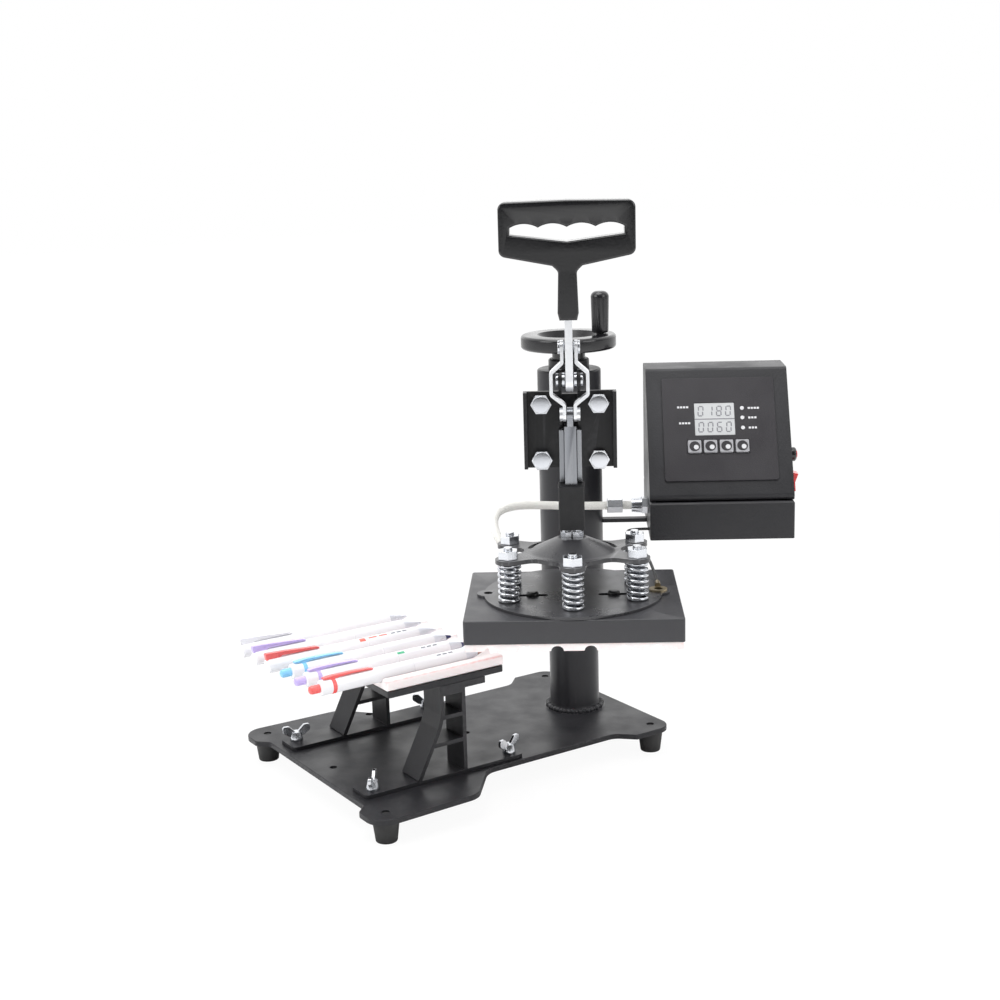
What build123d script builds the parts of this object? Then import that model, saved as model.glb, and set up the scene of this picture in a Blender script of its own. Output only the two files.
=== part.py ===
"""Heat press for pens: a swing head with a sprung hot plate over a bed of six pens."""
import os
from math import atan2, cos, degrees, hypot, pi, radians, sin, tan

from build123d import *

# Frame: millimetres, Z up, top of the base plate at Z 0, origin midway between the two jig
# holes and so under the middle of the bed, column on the +Y side.

# Fits
RUNNING = 0.06  # radial gap of a shaft that turns or slides
SEAT = 0.02  # radial gap of pieces fixed together
CLEAR = 0.35  # gap between pieces that pass each other
BOLT_GAP = 0.25  # radial gap round a bolt

# Base plate and feet
REACH = 165  # column axis to the middle of the bed and of the hot plate
BASE_T = 4
FOOT_FRONT = (95.5, -68)
FOOT_BACK = (73, 186)
LOBE_FRONT = 15.5  # corner radius round the front feet
LOBE_BACK = 13
FRONT_STEP = 8.5  # how far the front corners stand out of the front edge
FRONT_STEP_X = 76
SIDE_HALF = 108
SIDE_END = 2
WAIST_HALF = 73
WAIST_FRONT = 32
WAIST_BACK = 150
WAIST_ROUND = 16
FOOT_HOLE = 3
SPARE_HOLE = (-84, 18)
JIG_SPACING = 118
JIG_HOLE = 2.75
FOOT_H = 17.5
FOOT_TOP = 10
FOOT_END = 7.8
FOOT_RECESS = 3.6
FOOT_RECESS_H = 6

# Column and height screw
COLUMN_R = 20
COLUMN_WALL = 3
COLUMN_H = 258
WELD = 5
NUT_H = 25
SCREW_R = 7
SCREW_BELOW_NUT = 60
CLIP_R = 10.5
CLIP_T = 2.6

# Head sleeve and arm
HEAD_TURN = 54.5  # the head stands this far from the bed, seen from above
SLEEVE_R = 25
SLEEVE_BOTTOM = 88.5
SLEEVE_OVER = 21.5  # top of the sleeve above the column's
SLEEVE_CAP = 6
CAP_HOLE = 7.6
ARM_W = 24
ARM_H = 40
ARM_WALL = 3
ARM_MID = 255
FACE_BACK = 17  # from the plunger's middle back to the front of the arm's end plate
END_T = 4
END_W = 56
END_H = 52

# Hand wheel and crank
COLLAR_R = 16
COLLAR_H = 8
WHEEL_R = 37.3
WHEEL_HUB = 13
WHEEL_HUB_H = 8
WHEEL_H = 11
WHEEL_DISH = 5
WHEEL_RIM = 13
KNOB_OUT = 25
KNOB_H = 32.5
KNOB_R = 6.5
KNOB_TOP_R = 7.1
KNOB_PIN = 3

# Clamp sides, guide and pivots
PLATE_T = 3
PLATE_BOTTOM = 231.5
PLATE_TOP = 285.5
PLATE_OUT = 32.4
LIP_T = 2.5
LIP_D = 6
EAR_IN = 5.4
EAR_T = 2
EAR_R = 7.4
PIVOT_A = 295.5  # handle pivot
PIVOT_B = 318.1  # strap pivot on the handle
PIVOT_C = 271.5  # strap pivot on the plunger
PIN_A = 2.9
PIN_B = 2.4
BOLT_OUT = 20
BOLT_Z = (237.3, 276.9)
BOLT_R = 4
BOLT_AF = 13
BOLT_HEAD = 5.3
GUIDE_BOTTOM = 222.5
GUIDE_TOP = 259.5
GUIDE_IN = 5.8
GUIDE_T = 2
GUIDE_LIP = 1.35
GUIDE_D = 8.6
GUIDE_SPACE = 5  # depth of the channel behind its lips

# Plunger and coupling
SHOE_D = 4.8
RIB_HALF = 4.1
RIB_OUT = 4  # front of the rib beyond the plunger's middle
TONGUE_HALF = 2.1
TONGUE_R = 5
BLOCK_W = 18
BLOCK_D = 20
BLOCK_H = 30.5
HUB_BOLT_OUT = 4.2
HUB_BOLT_R = 2.5
HUB_NUT_AF = 7.4
HUB_NUT_H = 4

# Handle
BAR_T = 5.2
BAR_W = 16
BAR_IN = 14.8  # length of the bar inside the stem
GRIP_D = 19
GRIP_ROUND = 1.6
STEM_OVER = 19.1  # open end of the stem above the strap pivot
STEM_L = 35.9
STEM_HALF = 7.2
GRIP_HALF = 46
GRIP_H = 44.4
SHOULDER_RISE = 7.9
LOOP_HALF = 38.5
LOOP_RISE = 16.9  # lowest point of the loop above the grip's chin
LOOP_SLANT = 4.6
LOOP_H = 9.6
FINGER_RISE = 2.6
FINGERS = 4

# Straps
STRAP_T = 2.3
STRAP_W = 9
STRAP_TOP_OUT = 4.9
STRAP_BOW_OUT = 12.6
STRAP_END_OUT = 3.7
STRAP_TOP = 323
STRAP_BOW = (307.5, 300.5, 285.5, 278.5)
STRAP_BOTTOM = 266.5
STRAP_BEND = 2.4
RIVET_R = 4.7
RIVET_H = 2.2

# Float: spider, springs, studs, disc and hot plate
LUG_FRONT = 42
LUG_SIDE = (21.5, 44.5)
LUG_R = 8.7
SPIDER_T = 3
SPIDER_TOP = 175
SPIDER_R = 34
SPIDER_WEB = 9
SPIDER_ROUND = 9
DOME_TOP = 184.5
DOME_FLAT = 10
DOME_FOOT = 30
SLOT_R = 30
SLOT_W = 5
SLOT_FROM = 103
SLOT_SWEEP = 30
STUD_R = 3
STUD_OVER = 2
STUD_NUT_AF = 13
STUD_NUT_H = 6.2
SPRING_R = 7.5
SPRING_WIRE = 2.2
SPRING_COILS = 6
DISC_R = 63
DISC_T = 2
EAR_OUT = 60
DISC_EAR_R = 8
DISC_EAR_HOLE = 3
DISC_SLOT_OUT = 30
DISC_SLOT_L = 25
DISC_SLOT_W = 5
DISC_SLOT_R = 8
SLOT_DEPTH = 3  # of the milled slot below each slot of the disc
DISC_SCREW_OUT = 28.5
DISC_SCREW_HEAD = 4.4
DISC_SCREW_H = 2.8
PLATEN_T_SIZE = 149.3
PLATEN_R_SIZE = 125.3
PLATEN_H = 16.3
PLATEN_TOP = 142.5
PAD_MARGIN = 0.8
HEAT_PAD_T = 5.4
PITCH = 22.5  # pen to pen
PENS = 6
HEAT_GROOVE_W = 8.5
HEAT_GROOVE_H = 3.5

# Bed
BED_Z = 71.5
BED_T = 5
BED_HALF = 70
BED_FRONT = -47.5
BED_BACK = 50.5
BED_PAD_T = 8
PEN_R = 5.5
PEN_Z = 86
SUPPORT_IN = 46
SUPPORT_W = 24
LEG_FRONT = -3.4
LEG_SPREAD = -24.5  # where the bent leg meets the foot strip
LEG_KNEE = (-6.5, 38.5)
LEG_BACK = 15
LEG_ROUND = 12
WEB_LOW = 27
WEB_HIGH = 47
BRACKET_BACK = 34
BRACKET_H = 5
STRIP_T = 3
STRIP_FRONT = -69
STRIP_BACK = 67
WING_X = 61.3
WING_Y = JIG_SPACING / 2
WING_SHANK = 2.4
WING_SPAN = 11
WING_H = 12
WING_T = 2.4
WING_ROUND = 1.8
WING_FOOT_R = 5
WING_NECK_R = 3.6
WING_NECK_H = 7

# Pens
TIP_Y = 41
PEN_L = 144
PEN_CONE = 14
PEN_TIP_R = 0.7
CLIP_L = 40
CLIP_W = 3.6
CLIP_LIFT = 2.4
CLIP_PLATE = 1.4
BUTTON_R = 3
BUTTON_L = 8

# Control box
BOX_LEFT = 60
BOX_W = 110
BOX_BACK = -40
BOX_FRONT = 60
BOX_BOTTOM = 153.5
BOX_SEAM = 182.5
BOX_TOP = 277
BOX_WALL = 2.5
TRAY_LIP = 1.2  # bevel that marks the seam
PANEL = (115.5, 60.3)  # middle of the panel: across the head, up the slope
PANEL_SIZE = (87, 85.5)
PANEL_T = 1.2
WINDOW = (112.1, 68.5)
WINDOW_SIZE = (31, 27)
KEYS = 4
KEY_FIRST = 95.7
KEY_PITCH = 12.2
KEY_UP = 45.4
KEY_SIZE = 10.4
KEY_H = 5
ROCKER = (36, 193.5)
ROCKER_W = 11
ROCKER_H = 15.5
ROCKER_TILT = 8
ROCKER_OUT = 4.4
FUSE = (25, 212)
FUSE_R = 5.5
FUSE_OUT = 5
BOX_ARM_Z = 154.7
BOX_ARM_T = 3
BOX_ARM_D = 8

# Leads
LEAD_R = 3.2
GLAND = (30, 174.9)
GLAND_AF = 12
GLAND_L = 5
GLAND_NUT_R = 6.4
GLAND_NUT_L = 8
FERRULE = (28, 40)
FERRULE_AF = 10.5
BUSH_IN = 7.65  # middle of the bush from the hot plate's rear edge
BUSH_SIDE = -48
BUSH_R = 5.6
BUSH_H = 7.5
WIRE_R = 1.1
TERMINAL_R = 6.4
TERMINAL_T = 1.4
BARREL_R = 2
BARREL_END = 152

# Heights and planes worked out from the sizes
SLEEVE_TOP = COLUMN_H + SLEEVE_OVER
BUSH = (REACH - PLATEN_R_SIZE / 2 + BUSH_IN, BUSH_SIDE)
FACE_R = REACH - FACE_BACK
RIB_FRONT = REACH + RIB_OUT
STEM_BOTTOM = PIVOT_B + STEM_OVER
BAR_TOP = STEM_BOTTOM + BAR_IN
GRIP_CHIN = STEM_BOTTOM + STEM_L
GRIP_SHOULDER = GRIP_CHIN + SHOULDER_RISE
GRIP_TOP = GRIP_CHIN + GRIP_H
LOOP_BOTTOM = GRIP_CHIN + LOOP_RISE
LOOP_SIDE = LOOP_BOTTOM + LOOP_SLANT
LOOP_TOP = LOOP_BOTTOM + LOOP_H
FLOOR = -BASE_T - FOOT_H
BORE_R = COLUMN_R + RUNNING
SLEEVE_UNDER_CAP = SLEEVE_TOP - SLEEVE_CAP
HUB_Z = SLEEVE_TOP + COLLAR_H
WHEEL_Z = HUB_Z + WHEEL_HUB_H
WHEEL_TOP = WHEEL_Z + WHEEL_H
BLOCK_TOP = GUIDE_BOTTOM - 0.5
BLOCK_BOTTOM = BLOCK_TOP - BLOCK_H
PLATE_FRONT = FACE_R + PLATE_T
PLATEN_BOTTOM = PLATEN_TOP - PLATEN_H
DISC_TOP = PLATEN_TOP + DISC_T
LUGS = [(LUG_FRONT, 0), (-LUG_FRONT, 0)]
LUGS += [(i * LUG_SIDE[0], j * LUG_SIDE[1]) for i in (1, -1) for j in (1, -1)]
GROOVES = [(i - (PENS - 1) / 2) * PITCH for i in range(PENS)]
TURN = radians(HEAD_TURN)
HEAD = Plane(origin=(0, REACH, 0), x_dir=(sin(TURN), -cos(TURN), 0), z_dir=(0, 0, 1))
SIDEWAYS = Axis((0, 0, 0), tuple(HEAD.y_dir))
SLOPE_LENGTH = hypot(BOX_FRONT, BOX_TOP - BOX_SEAM)


def at(out, side, z):
    """A point of the head: out along the arm, sideways, up."""
    return HEAD.from_local_coords(Vector(out, side, z))


def level(z, out=0, side=0):
    """A flat plane of the head: local x along the arm, local y sideways."""
    return Plane(origin=at(out, side, z), x_dir=HEAD.x_dir, z_dir=(0, 0, 1))


def across(out):
    """A plane square to the arm: local x sideways, local y up, facing outward."""
    return Plane(origin=at(out, 0, 0), x_dir=HEAD.y_dir, z_dir=HEAD.x_dir)


def along(side):
    """A plane along the arm: local x outward, local y up. Its normal points to minus side."""
    return Plane(origin=at(0, side, 0), x_dir=HEAD.x_dir, z_dir=HEAD.y_dir * -1)


def on_slope(lift=0):
    """The box's sloping front: local x sideways, local y up the slope."""
    rise = BOX_TOP - BOX_SEAM
    normal = HEAD.x_dir * (rise / SLOPE_LENGTH) + Vector(0, 0, BOX_FRONT / SLOPE_LENGTH)
    return Plane(origin=at(BOX_FRONT, 0, BOX_SEAM), x_dir=HEAD.y_dir, z_dir=normal).offset(lift)


def hexagon(flats):
    """A hexagon by its width across flats, in the sketch that is open."""
    RegularPolygon(radius=flats / 2, side_count=6, major_radius=False)


def save(piece, node):
    """Label one finished piece and write it as a STEP file."""
    piece.label = node
    export_step(piece, f"parts/{node}.step")


def smooth_route(node, points, radius):
    """Radii for a lead's bends: 0.45 of the shorter run over the tangent of half the turn."""
    radii = []
    for before, point, after in zip(points, points[1:], points[2:]):
        run_in, run_out = point - before, after - point
        turn = radians(run_in.get_angle(run_out))
        radii.append(0.45 * min(run_in.length, run_out.length) / tan(turn / 2))
    print(node, "bend radii", [round(r, 1) for r in radii], "section radius", radius)
    return radii


os.makedirs("parts", exist_ok=True)

# Base plate: waisted, with a lobe over each foot
with BuildPart() as base_plate:
    with BuildSketch(Plane.XY.offset(-BASE_T)) as outline:
        front = FOOT_FRONT[1] - LOBE_FRONT
        back = FOOT_BACK[1] + LOBE_BACK
        side_x = FOOT_FRONT[0] + LOBE_FRONT
        with BuildLine():
            half = Polyline(
                (0, front + FRONT_STEP),
                (FRONT_STEP_X, front + FRONT_STEP),
                (FRONT_STEP_X + FRONT_STEP, front),
                (side_x, front),
                (SIDE_HALF, SIDE_END),
                (WAIST_HALF, WAIST_FRONT),
                (WAIST_HALF, WAIST_BACK),
                (FOOT_BACK[0] + LOBE_BACK, WAIST_BACK + LOBE_BACK),
                (FOOT_BACK[0] + LOBE_BACK, back),
                (0, back),
            )
            mirror(half, about=Plane.YZ)
        make_face()
        fillet(outline.vertices().filter_by(lambda v: abs(v.Y - front) < 1 and abs(v.X) > side_x - 1),
               LOBE_FRONT - 0.5)
        fillet(outline.vertices().filter_by(lambda v: abs(v.Y - front - FRONT_STEP / 2) < FRONT_STEP
                                            and abs(v.X) < FRONT_STEP_X + FRONT_STEP + 1
                                            and abs(v.X) > FRONT_STEP_X - 1), 5)
        fillet(outline.vertices().filter_by(lambda v: abs(v.Y - back) < 1 and abs(v.X) > WAIST_HALF),
               LOBE_BACK)
        fillet(outline.vertices().filter_by(lambda v: SIDE_END - 1 < v.Y < WAIST_FRONT + 1), WAIST_ROUND)
        fillet(outline.vertices().filter_by(lambda v: abs(v.Y - WAIST_BACK) < 1), LOBE_BACK)
    extrude(amount=BASE_T)
    with Locations((FOOT_FRONT[0], FOOT_FRONT[1], 0), (-FOOT_FRONT[0], FOOT_FRONT[1], 0),
                   (FOOT_BACK[0], FOOT_BACK[1], 0), (-FOOT_BACK[0], FOOT_BACK[1], 0),
                   (SPARE_HOLE[0], SPARE_HOLE[1], 0)):
        Hole(FOOT_HOLE, depth=BASE_T)
    with GridLocations(0, JIG_SPACING, 1, 2):
        Hole(JIG_HOLE, depth=BASE_T)
    with GridLocations(2 * WING_X, JIG_SPACING, 2, 2):
        Hole(WING_SHANK + RUNNING, depth=BASE_T)
    chamfer(base_plate.faces().sort_by(Axis.Z)[-1].outer_wire().edges(), 0.4)
save(base_plate.part, "base_plate")

# Rubber feet: tapered, plugged into the corner holes, with a screw recess below
with BuildPart() as rubber_feet:
    for x, y in (FOOT_FRONT, FOOT_BACK):
        for side in (1, -1):
            with BuildSketch(Plane(origin=(side * x, y, FLOOR), x_dir=(1, 0, 0), z_dir=(0, -1, 0))):
                with BuildLine():
                    Polyline(
                        (FOOT_RECESS, 0),
                        (FOOT_END, 0),
                        (FOOT_TOP, FOOT_H),
                        (FOOT_HOLE - SEAT, FOOT_H),
                        (FOOT_HOLE - SEAT, FOOT_H + BASE_T - 1),
                        (0, FOOT_H + BASE_T - 1),
                        (0, FOOT_RECESS_H),
                        (FOOT_RECESS, FOOT_RECESS_H),
                        close=True,
                    )
                make_face()
            revolve(axis=Axis((side * x, y, 0), (0, 0, 1)))
save(rubber_feet.part, "rubber_feet")

# Column: a tube with its weld bead, closed at the top by the nut of the height screw
with BuildPart() as column:
    with BuildSketch(Plane(origin=(0, REACH, 0), x_dir=(1, 0, 0), z_dir=(0, -1, 0))):
        with BuildLine():
            Line((COLUMN_R - COLUMN_WALL, 0), (COLUMN_R + WELD, 0))
            RadiusArc((COLUMN_R + WELD, 0), (COLUMN_R, WELD), WELD * 1.2)
            Polyline((COLUMN_R, WELD), (COLUMN_R, COLUMN_H), (SCREW_R + RUNNING, COLUMN_H),
                     (SCREW_R + RUNNING, COLUMN_H - NUT_H), (COLUMN_R - COLUMN_WALL, COLUMN_H - NUT_H),
                     (COLUMN_R - COLUMN_WALL, 0))
        make_face()
    revolve(axis=Axis((0, REACH, 0), (0, 0, 1)))
save(column.part, "column")

# Bed supports: bent strips standing on a foot strip, one at each end of the bed
for node, left in (("bed_support_front", SUPPORT_IN), ("bed_support_rear", -SUPPORT_IN - SUPPORT_W)):
    top = BED_Z - BRACKET_H
    with BuildPart() as support:
        with BuildSketch(Plane.YZ.offset(left)):
            with BuildLine():
                FilletPolyline((LEG_SPREAD, STRIP_T), LEG_KNEE, (LEG_FRONT, WEB_HIGH + 2), (LEG_FRONT, top),
                               radius=LEG_ROUND)
                Line((LEG_BACK, STRIP_T), (LEG_BACK, top))
                Line((LEG_SPREAD + 13, WEB_LOW), (LEG_BACK, WEB_LOW))
                Line((LEG_FRONT, WEB_HIGH), (LEG_BACK, WEB_HIGH))
            trace(line_width=STRIP_T)
            with BuildLine():
                Polyline((LEG_FRONT - STRIP_T / 2, top - STRIP_T), (LEG_BACK + STRIP_T / 2, top - STRIP_T),
                         (LEG_BACK + STRIP_T / 2, top), (LEG_FRONT - STRIP_T / 2, top), close=True)
            make_face()
        extrude(amount=SUPPORT_W)
        with BuildSketch(Plane.XY):
            with Locations((left + SUPPORT_W / 2, (STRIP_FRONT + STRIP_BACK) / 2)):
                RectangleRounded(SUPPORT_W, STRIP_BACK - STRIP_FRONT, 4)
            with Locations((WING_X if left > 0 else -WING_X, 0)):
                with GridLocations(0, JIG_SPACING, 1, 2):
                    Circle(WING_SHANK + RUNNING, mode=Mode.SUBTRACT)
        extrude(amount=STRIP_T)
        with BuildSketch(Plane.XY.offset(top)):
            with Locations((left + SUPPORT_W / 2, (LEG_FRONT - STRIP_T / 2 + BRACKET_BACK) / 2)):
                Rectangle(SUPPORT_W, BRACKET_BACK - LEG_FRONT + STRIP_T / 2)
        extrude(amount=BRACKET_H)
        with BuildSketch(Plane.YZ.offset(left + STRIP_T)):
            with Locations(((LEG_BACK + BRACKET_BACK) / 2 + STRIP_T, top + (BRACKET_H - STRIP_T) / 2)):
                Rectangle(BRACKET_BACK - LEG_BACK, BRACKET_H - STRIP_T)
        extrude(amount=SUPPORT_W - 2 * STRIP_T, mode=Mode.SUBTRACT)
    save(support.part, node)

# Bed plate and its grooved silicone pad
BED_MID = (BED_FRONT + BED_BACK) / 2
BED_L = BED_BACK - BED_FRONT
PAD_TOP = BED_Z + BED_T + BED_PAD_T
with BuildPart() as bed_plate:
    with BuildSketch(Plane.XY.offset(BED_Z)):
        with Locations((0, BED_MID)):
            RectangleRounded(2 * BED_HALF, BED_L, 2)
    extrude(amount=BED_T)
save(bed_plate.part, "bed_plate")

with BuildPart() as bed_pad:
    with BuildSketch(Plane.XZ.offset(-BED_BACK)) as pad_end:
        with Locations((0, PAD_TOP - BED_PAD_T / 2)):
            RectangleRounded(2 * BED_HALF, BED_PAD_T, 2.4)
        with Locations(*[(x, PEN_Z) for x in GROOVES]):
            Circle(PEN_R + CLEAR, mode=Mode.SUBTRACT)
    extrude(amount=BED_L)
save(bed_pad.part, "bed_pad")

# Wing screws: shank through the foot strip and the base plate
WING_SCREWS = {
    "wing_screw_front_outer": (WING_X, -WING_Y, 140),
    "wing_screw_front_inner": (WING_X, WING_Y, 107),
    "wing_screw_rear_outer": (-WING_X, -WING_Y, 80),
    "wing_screw_rear_inner": (-WING_X, WING_Y, 60),
}
for node, (x, y, turned) in WING_SCREWS.items():
    wing_way = Vector(cos(radians(turned)), sin(radians(turned)), 0)
    wing_side = Vector(sin(radians(turned)), -cos(radians(turned)), 0)
    with BuildPart() as wing_screw:
        with BuildSketch(Plane(origin=(x, y, 0), x_dir=wing_way, z_dir=wing_side)):
            with BuildLine():
                Polyline((0, -BASE_T - STRIP_T), (WING_SHANK, -BASE_T - STRIP_T), (WING_SHANK, STRIP_T),
                         (WING_FOOT_R, STRIP_T), (WING_FOOT_R, STRIP_T + 2),
                         (WING_NECK_R, STRIP_T + WING_NECK_H), (0, STRIP_T + WING_NECK_H), close=True)
            make_face()
        revolve(axis=Axis((x, y, 0), (0, 0, 1)))
        with BuildSketch(Plane(origin=(x, y, STRIP_T), x_dir=wing_way, z_dir=wing_side)) as wings:
            with BuildLine():
                Polyline((0, 2), (WING_SPAN * 0.6, 4), (WING_SPAN, WING_H * 0.6), (WING_SPAN, WING_H),
                         (WING_SPAN * 0.55, WING_H), (0, WING_NECK_H - 1), close=True)
            make_face()
            fillet(wings.vertices().filter_by(lambda v: v.Y > WING_H * 0.5), WING_ROUND)
            mirror(about=Plane.YZ)
        extrude(amount=WING_T / 2, both=True)
    save(wing_screw.part, node)

# Pens: turned body, pocket clip, and a push button on three of them
for number, x in enumerate(GROOVES, 1):
    with_button = number > PENS / 2
    butt = PEN_L - TIP_Y
    barrel_end = butt - (BUTTON_L if with_button else 0)
    with BuildPart() as pen:
        with BuildSketch(Plane(origin=(x, 0, PEN_Z), x_dir=(0, -1, 0), z_dir=(0, 0, 1))):
            with BuildLine():
                Polyline((-TIP_Y, 0), (-TIP_Y, PEN_TIP_R), (-TIP_Y + 3, PEN_TIP_R + 0.5),
                         (-TIP_Y + PEN_CONE, PEN_R - 0.7))
                ThreePointArc((-TIP_Y + PEN_CONE, PEN_R - 0.7), (-TIP_Y + PEN_CONE + 1.8, PEN_R - 0.2),
                              (-TIP_Y + PEN_CONE + 4, PEN_R))
                Polyline((-TIP_Y + PEN_CONE + 4, PEN_R), (barrel_end - 1.5, PEN_R), (barrel_end, PEN_R - 1.2))
                if with_button:
                    Polyline((barrel_end, PEN_R - 1.2), (barrel_end, BUTTON_R), (butt - 1, BUTTON_R),
                             (butt, BUTTON_R - 1), (butt, 0), (-TIP_Y, 0))
                else:
                    Polyline((barrel_end, PEN_R - 1.2), (butt, 0), (-TIP_Y, 0))
            make_face()
        revolve(axis=Axis((x, 0, PEN_Z), (0, 1, 0)))
        with BuildSketch(Plane(origin=(x, 0, PEN_Z), x_dir=(0, -1, 0), z_dir=(-1, 0, 0))) as clip:
            lift = PEN_R + CLIP_LIFT
            with BuildLine():
                Polyline((barrel_end - 7, PEN_R - 1), (barrel_end - 2, PEN_R - 1), (barrel_end - 2, lift),
                         (barrel_end - CLIP_L, lift - 0.8), (barrel_end - CLIP_L - 2, lift - CLIP_PLATE),
                         (barrel_end - CLIP_L + 1, PEN_R + 0.1),
                         (barrel_end - CLIP_L + 3, lift - CLIP_PLATE - 0.6),
                         (barrel_end - 7, lift - CLIP_PLATE), close=True)
            make_face()
        extrude(amount=CLIP_W / 2, both=True)
    save(pen.part, f"pen_{number}")

# Head sleeve: turns and slides on the column, closed by a cap that the screw passes
with BuildPart() as head_sleeve:
    with BuildSketch(Plane(origin=(0, REACH, 0), x_dir=(1, 0, 0), z_dir=(0, -1, 0))):
        with BuildLine():
            Polyline((BORE_R, SLEEVE_BOTTOM), (SLEEVE_R, SLEEVE_BOTTOM), (SLEEVE_R, SLEEVE_TOP - 1),
                     (SLEEVE_R - 1, SLEEVE_TOP), (CAP_HOLE, SLEEVE_TOP), (CAP_HOLE, SLEEVE_UNDER_CAP),
                     (BORE_R, SLEEVE_UNDER_CAP), close=True)
        make_face()
    revolve(axis=Axis((0, REACH, 0), (0, 0, 1)))
save(head_sleeve.part, "head_sleeve")

# Collar between the sleeve and the wheel's hub
with BuildPart() as thrust_collar:
    with BuildSketch(Plane.XY.offset(SLEEVE_TOP)):
        with Locations((0, REACH)):
            Circle(COLLAR_R)
            Circle(SCREW_R + RUNNING, mode=Mode.SUBTRACT)
    extrude(amount=COLLAR_H)
    chamfer(thrust_collar.edges().filter_by(GeomType.CIRCLE).group_by(Axis.Z)[-1].sort_by(SortBy.LENGTH)[-1], 1)
save(thrust_collar.part, "thrust_collar")

# Height screw with its clip below the cap
with BuildPart() as height_screw:
    screw_bottom = COLUMN_H - NUT_H - SCREW_BELOW_NUT
    clip_top = SLEEVE_UNDER_CAP - 0.3
    with BuildSketch(Plane(origin=(0, REACH, 0), x_dir=(1, 0, 0), z_dir=(0, -1, 0))):
        with BuildLine():
            Polyline((0, screw_bottom), (SCREW_R - 1, screw_bottom), (SCREW_R, screw_bottom + 1),
                     (SCREW_R, clip_top - CLIP_T), (CLIP_R, clip_top - CLIP_T), (CLIP_R, clip_top),
                     (SCREW_R, clip_top), (SCREW_R, WHEEL_TOP - WHEEL_DISH), (0, WHEEL_TOP - WHEEL_DISH),
                     close=True)
        make_face()
    revolve(axis=Axis((0, REACH, 0), (0, 0, 1)))
save(height_screw.part, "height_screw")

# Hand wheel: dished disc with a hub below and the crank pin
pin_start = WHEEL_Z + WHEEL_DISH
with BuildPart() as hand_wheel:
    with BuildSketch(Plane(origin=(0, REACH, 0), x_dir=(1, 0, 0), z_dir=(0, -1, 0))) as section:
        with BuildLine():
            Polyline((SCREW_R + SEAT, HUB_Z), (WHEEL_HUB, HUB_Z), (WHEEL_HUB, WHEEL_Z), (WHEEL_R, WHEEL_Z),
                     (WHEEL_R, WHEEL_TOP), (WHEEL_R - WHEEL_RIM, WHEEL_TOP),
                     (WHEEL_R - WHEEL_RIM - 3, WHEEL_TOP - WHEEL_DISH), (SCREW_R + SEAT, WHEEL_TOP - WHEEL_DISH),
                     close=True)
        make_face()
        fillet(section.vertices().filter_by(lambda v: abs(v.X - WHEEL_R) < 0.1), 2.5)
    revolve(axis=Axis((0, REACH, 0), (0, 0, 1)))
    with BuildSketch(level(pin_start, 0, KNOB_OUT)):
        Circle(KNOB_PIN)
    extrude(amount=KNOB_H - 1)
save(hand_wheel.part, "hand_wheel")

# Crank knob: spins on the pin
with BuildPart() as crank_knob:
    knob_z = WHEEL_TOP + 0.5
    knob_end = knob_z + KNOB_H
    pin_end = pin_start + KNOB_H - 1
    with BuildSketch(along(KNOB_OUT)) as section:
        with BuildLine():
            Polyline((KNOB_PIN + RUNNING, knob_z), (KNOB_R - 1, knob_z), (KNOB_R, knob_z + 1),
                     (KNOB_TOP_R, knob_end - 4))
            ThreePointArc((KNOB_TOP_R, knob_end - 4), (KNOB_TOP_R - 1.6, knob_end - 1.1),
                          (KNOB_TOP_R - 4.6, knob_end))
            Polyline((KNOB_TOP_R - 4.6, knob_end), (0, knob_end), (0, pin_end + 0.5),
                     (KNOB_PIN + RUNNING, pin_end + 0.5), (KNOB_PIN + RUNNING, knob_z))
        make_face()
    revolve(axis=Axis(tuple(at(0, KNOB_OUT, 0)), (0, 0, 1)))
save(crank_knob.part, "crank_knob")

# Head arm: square tube coped to the sleeve, with an end plate for the clamp
with BuildPart() as head_arm:
    with BuildSketch(across(COLUMN_R)):
        with Locations((0, ARM_MID)):
            Rectangle(ARM_W, ARM_H)
            Rectangle(ARM_W - 2 * ARM_WALL, ARM_H - 2 * ARM_WALL, mode=Mode.SUBTRACT)
    extrude(amount=FACE_R - END_T - COLUMN_R)
    with BuildSketch(level(ARM_MID - ARM_H)):
        Circle(SLEEVE_R + SEAT)
    extrude(amount=2 * ARM_H, mode=Mode.SUBTRACT)
    with BuildSketch(across(FACE_R - END_T)):
        with Locations((0, sum(BOLT_Z) / 2)):
            RectangleRounded(END_W, END_H, 3)
        with Locations(*[(i * BOLT_OUT, z) for i in (1, -1) for z in BOLT_Z]):
            Circle(BOLT_R + BOLT_GAP, mode=Mode.SUBTRACT)
    extrude(amount=END_T)
save(head_arm.part, "head_arm")

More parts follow.
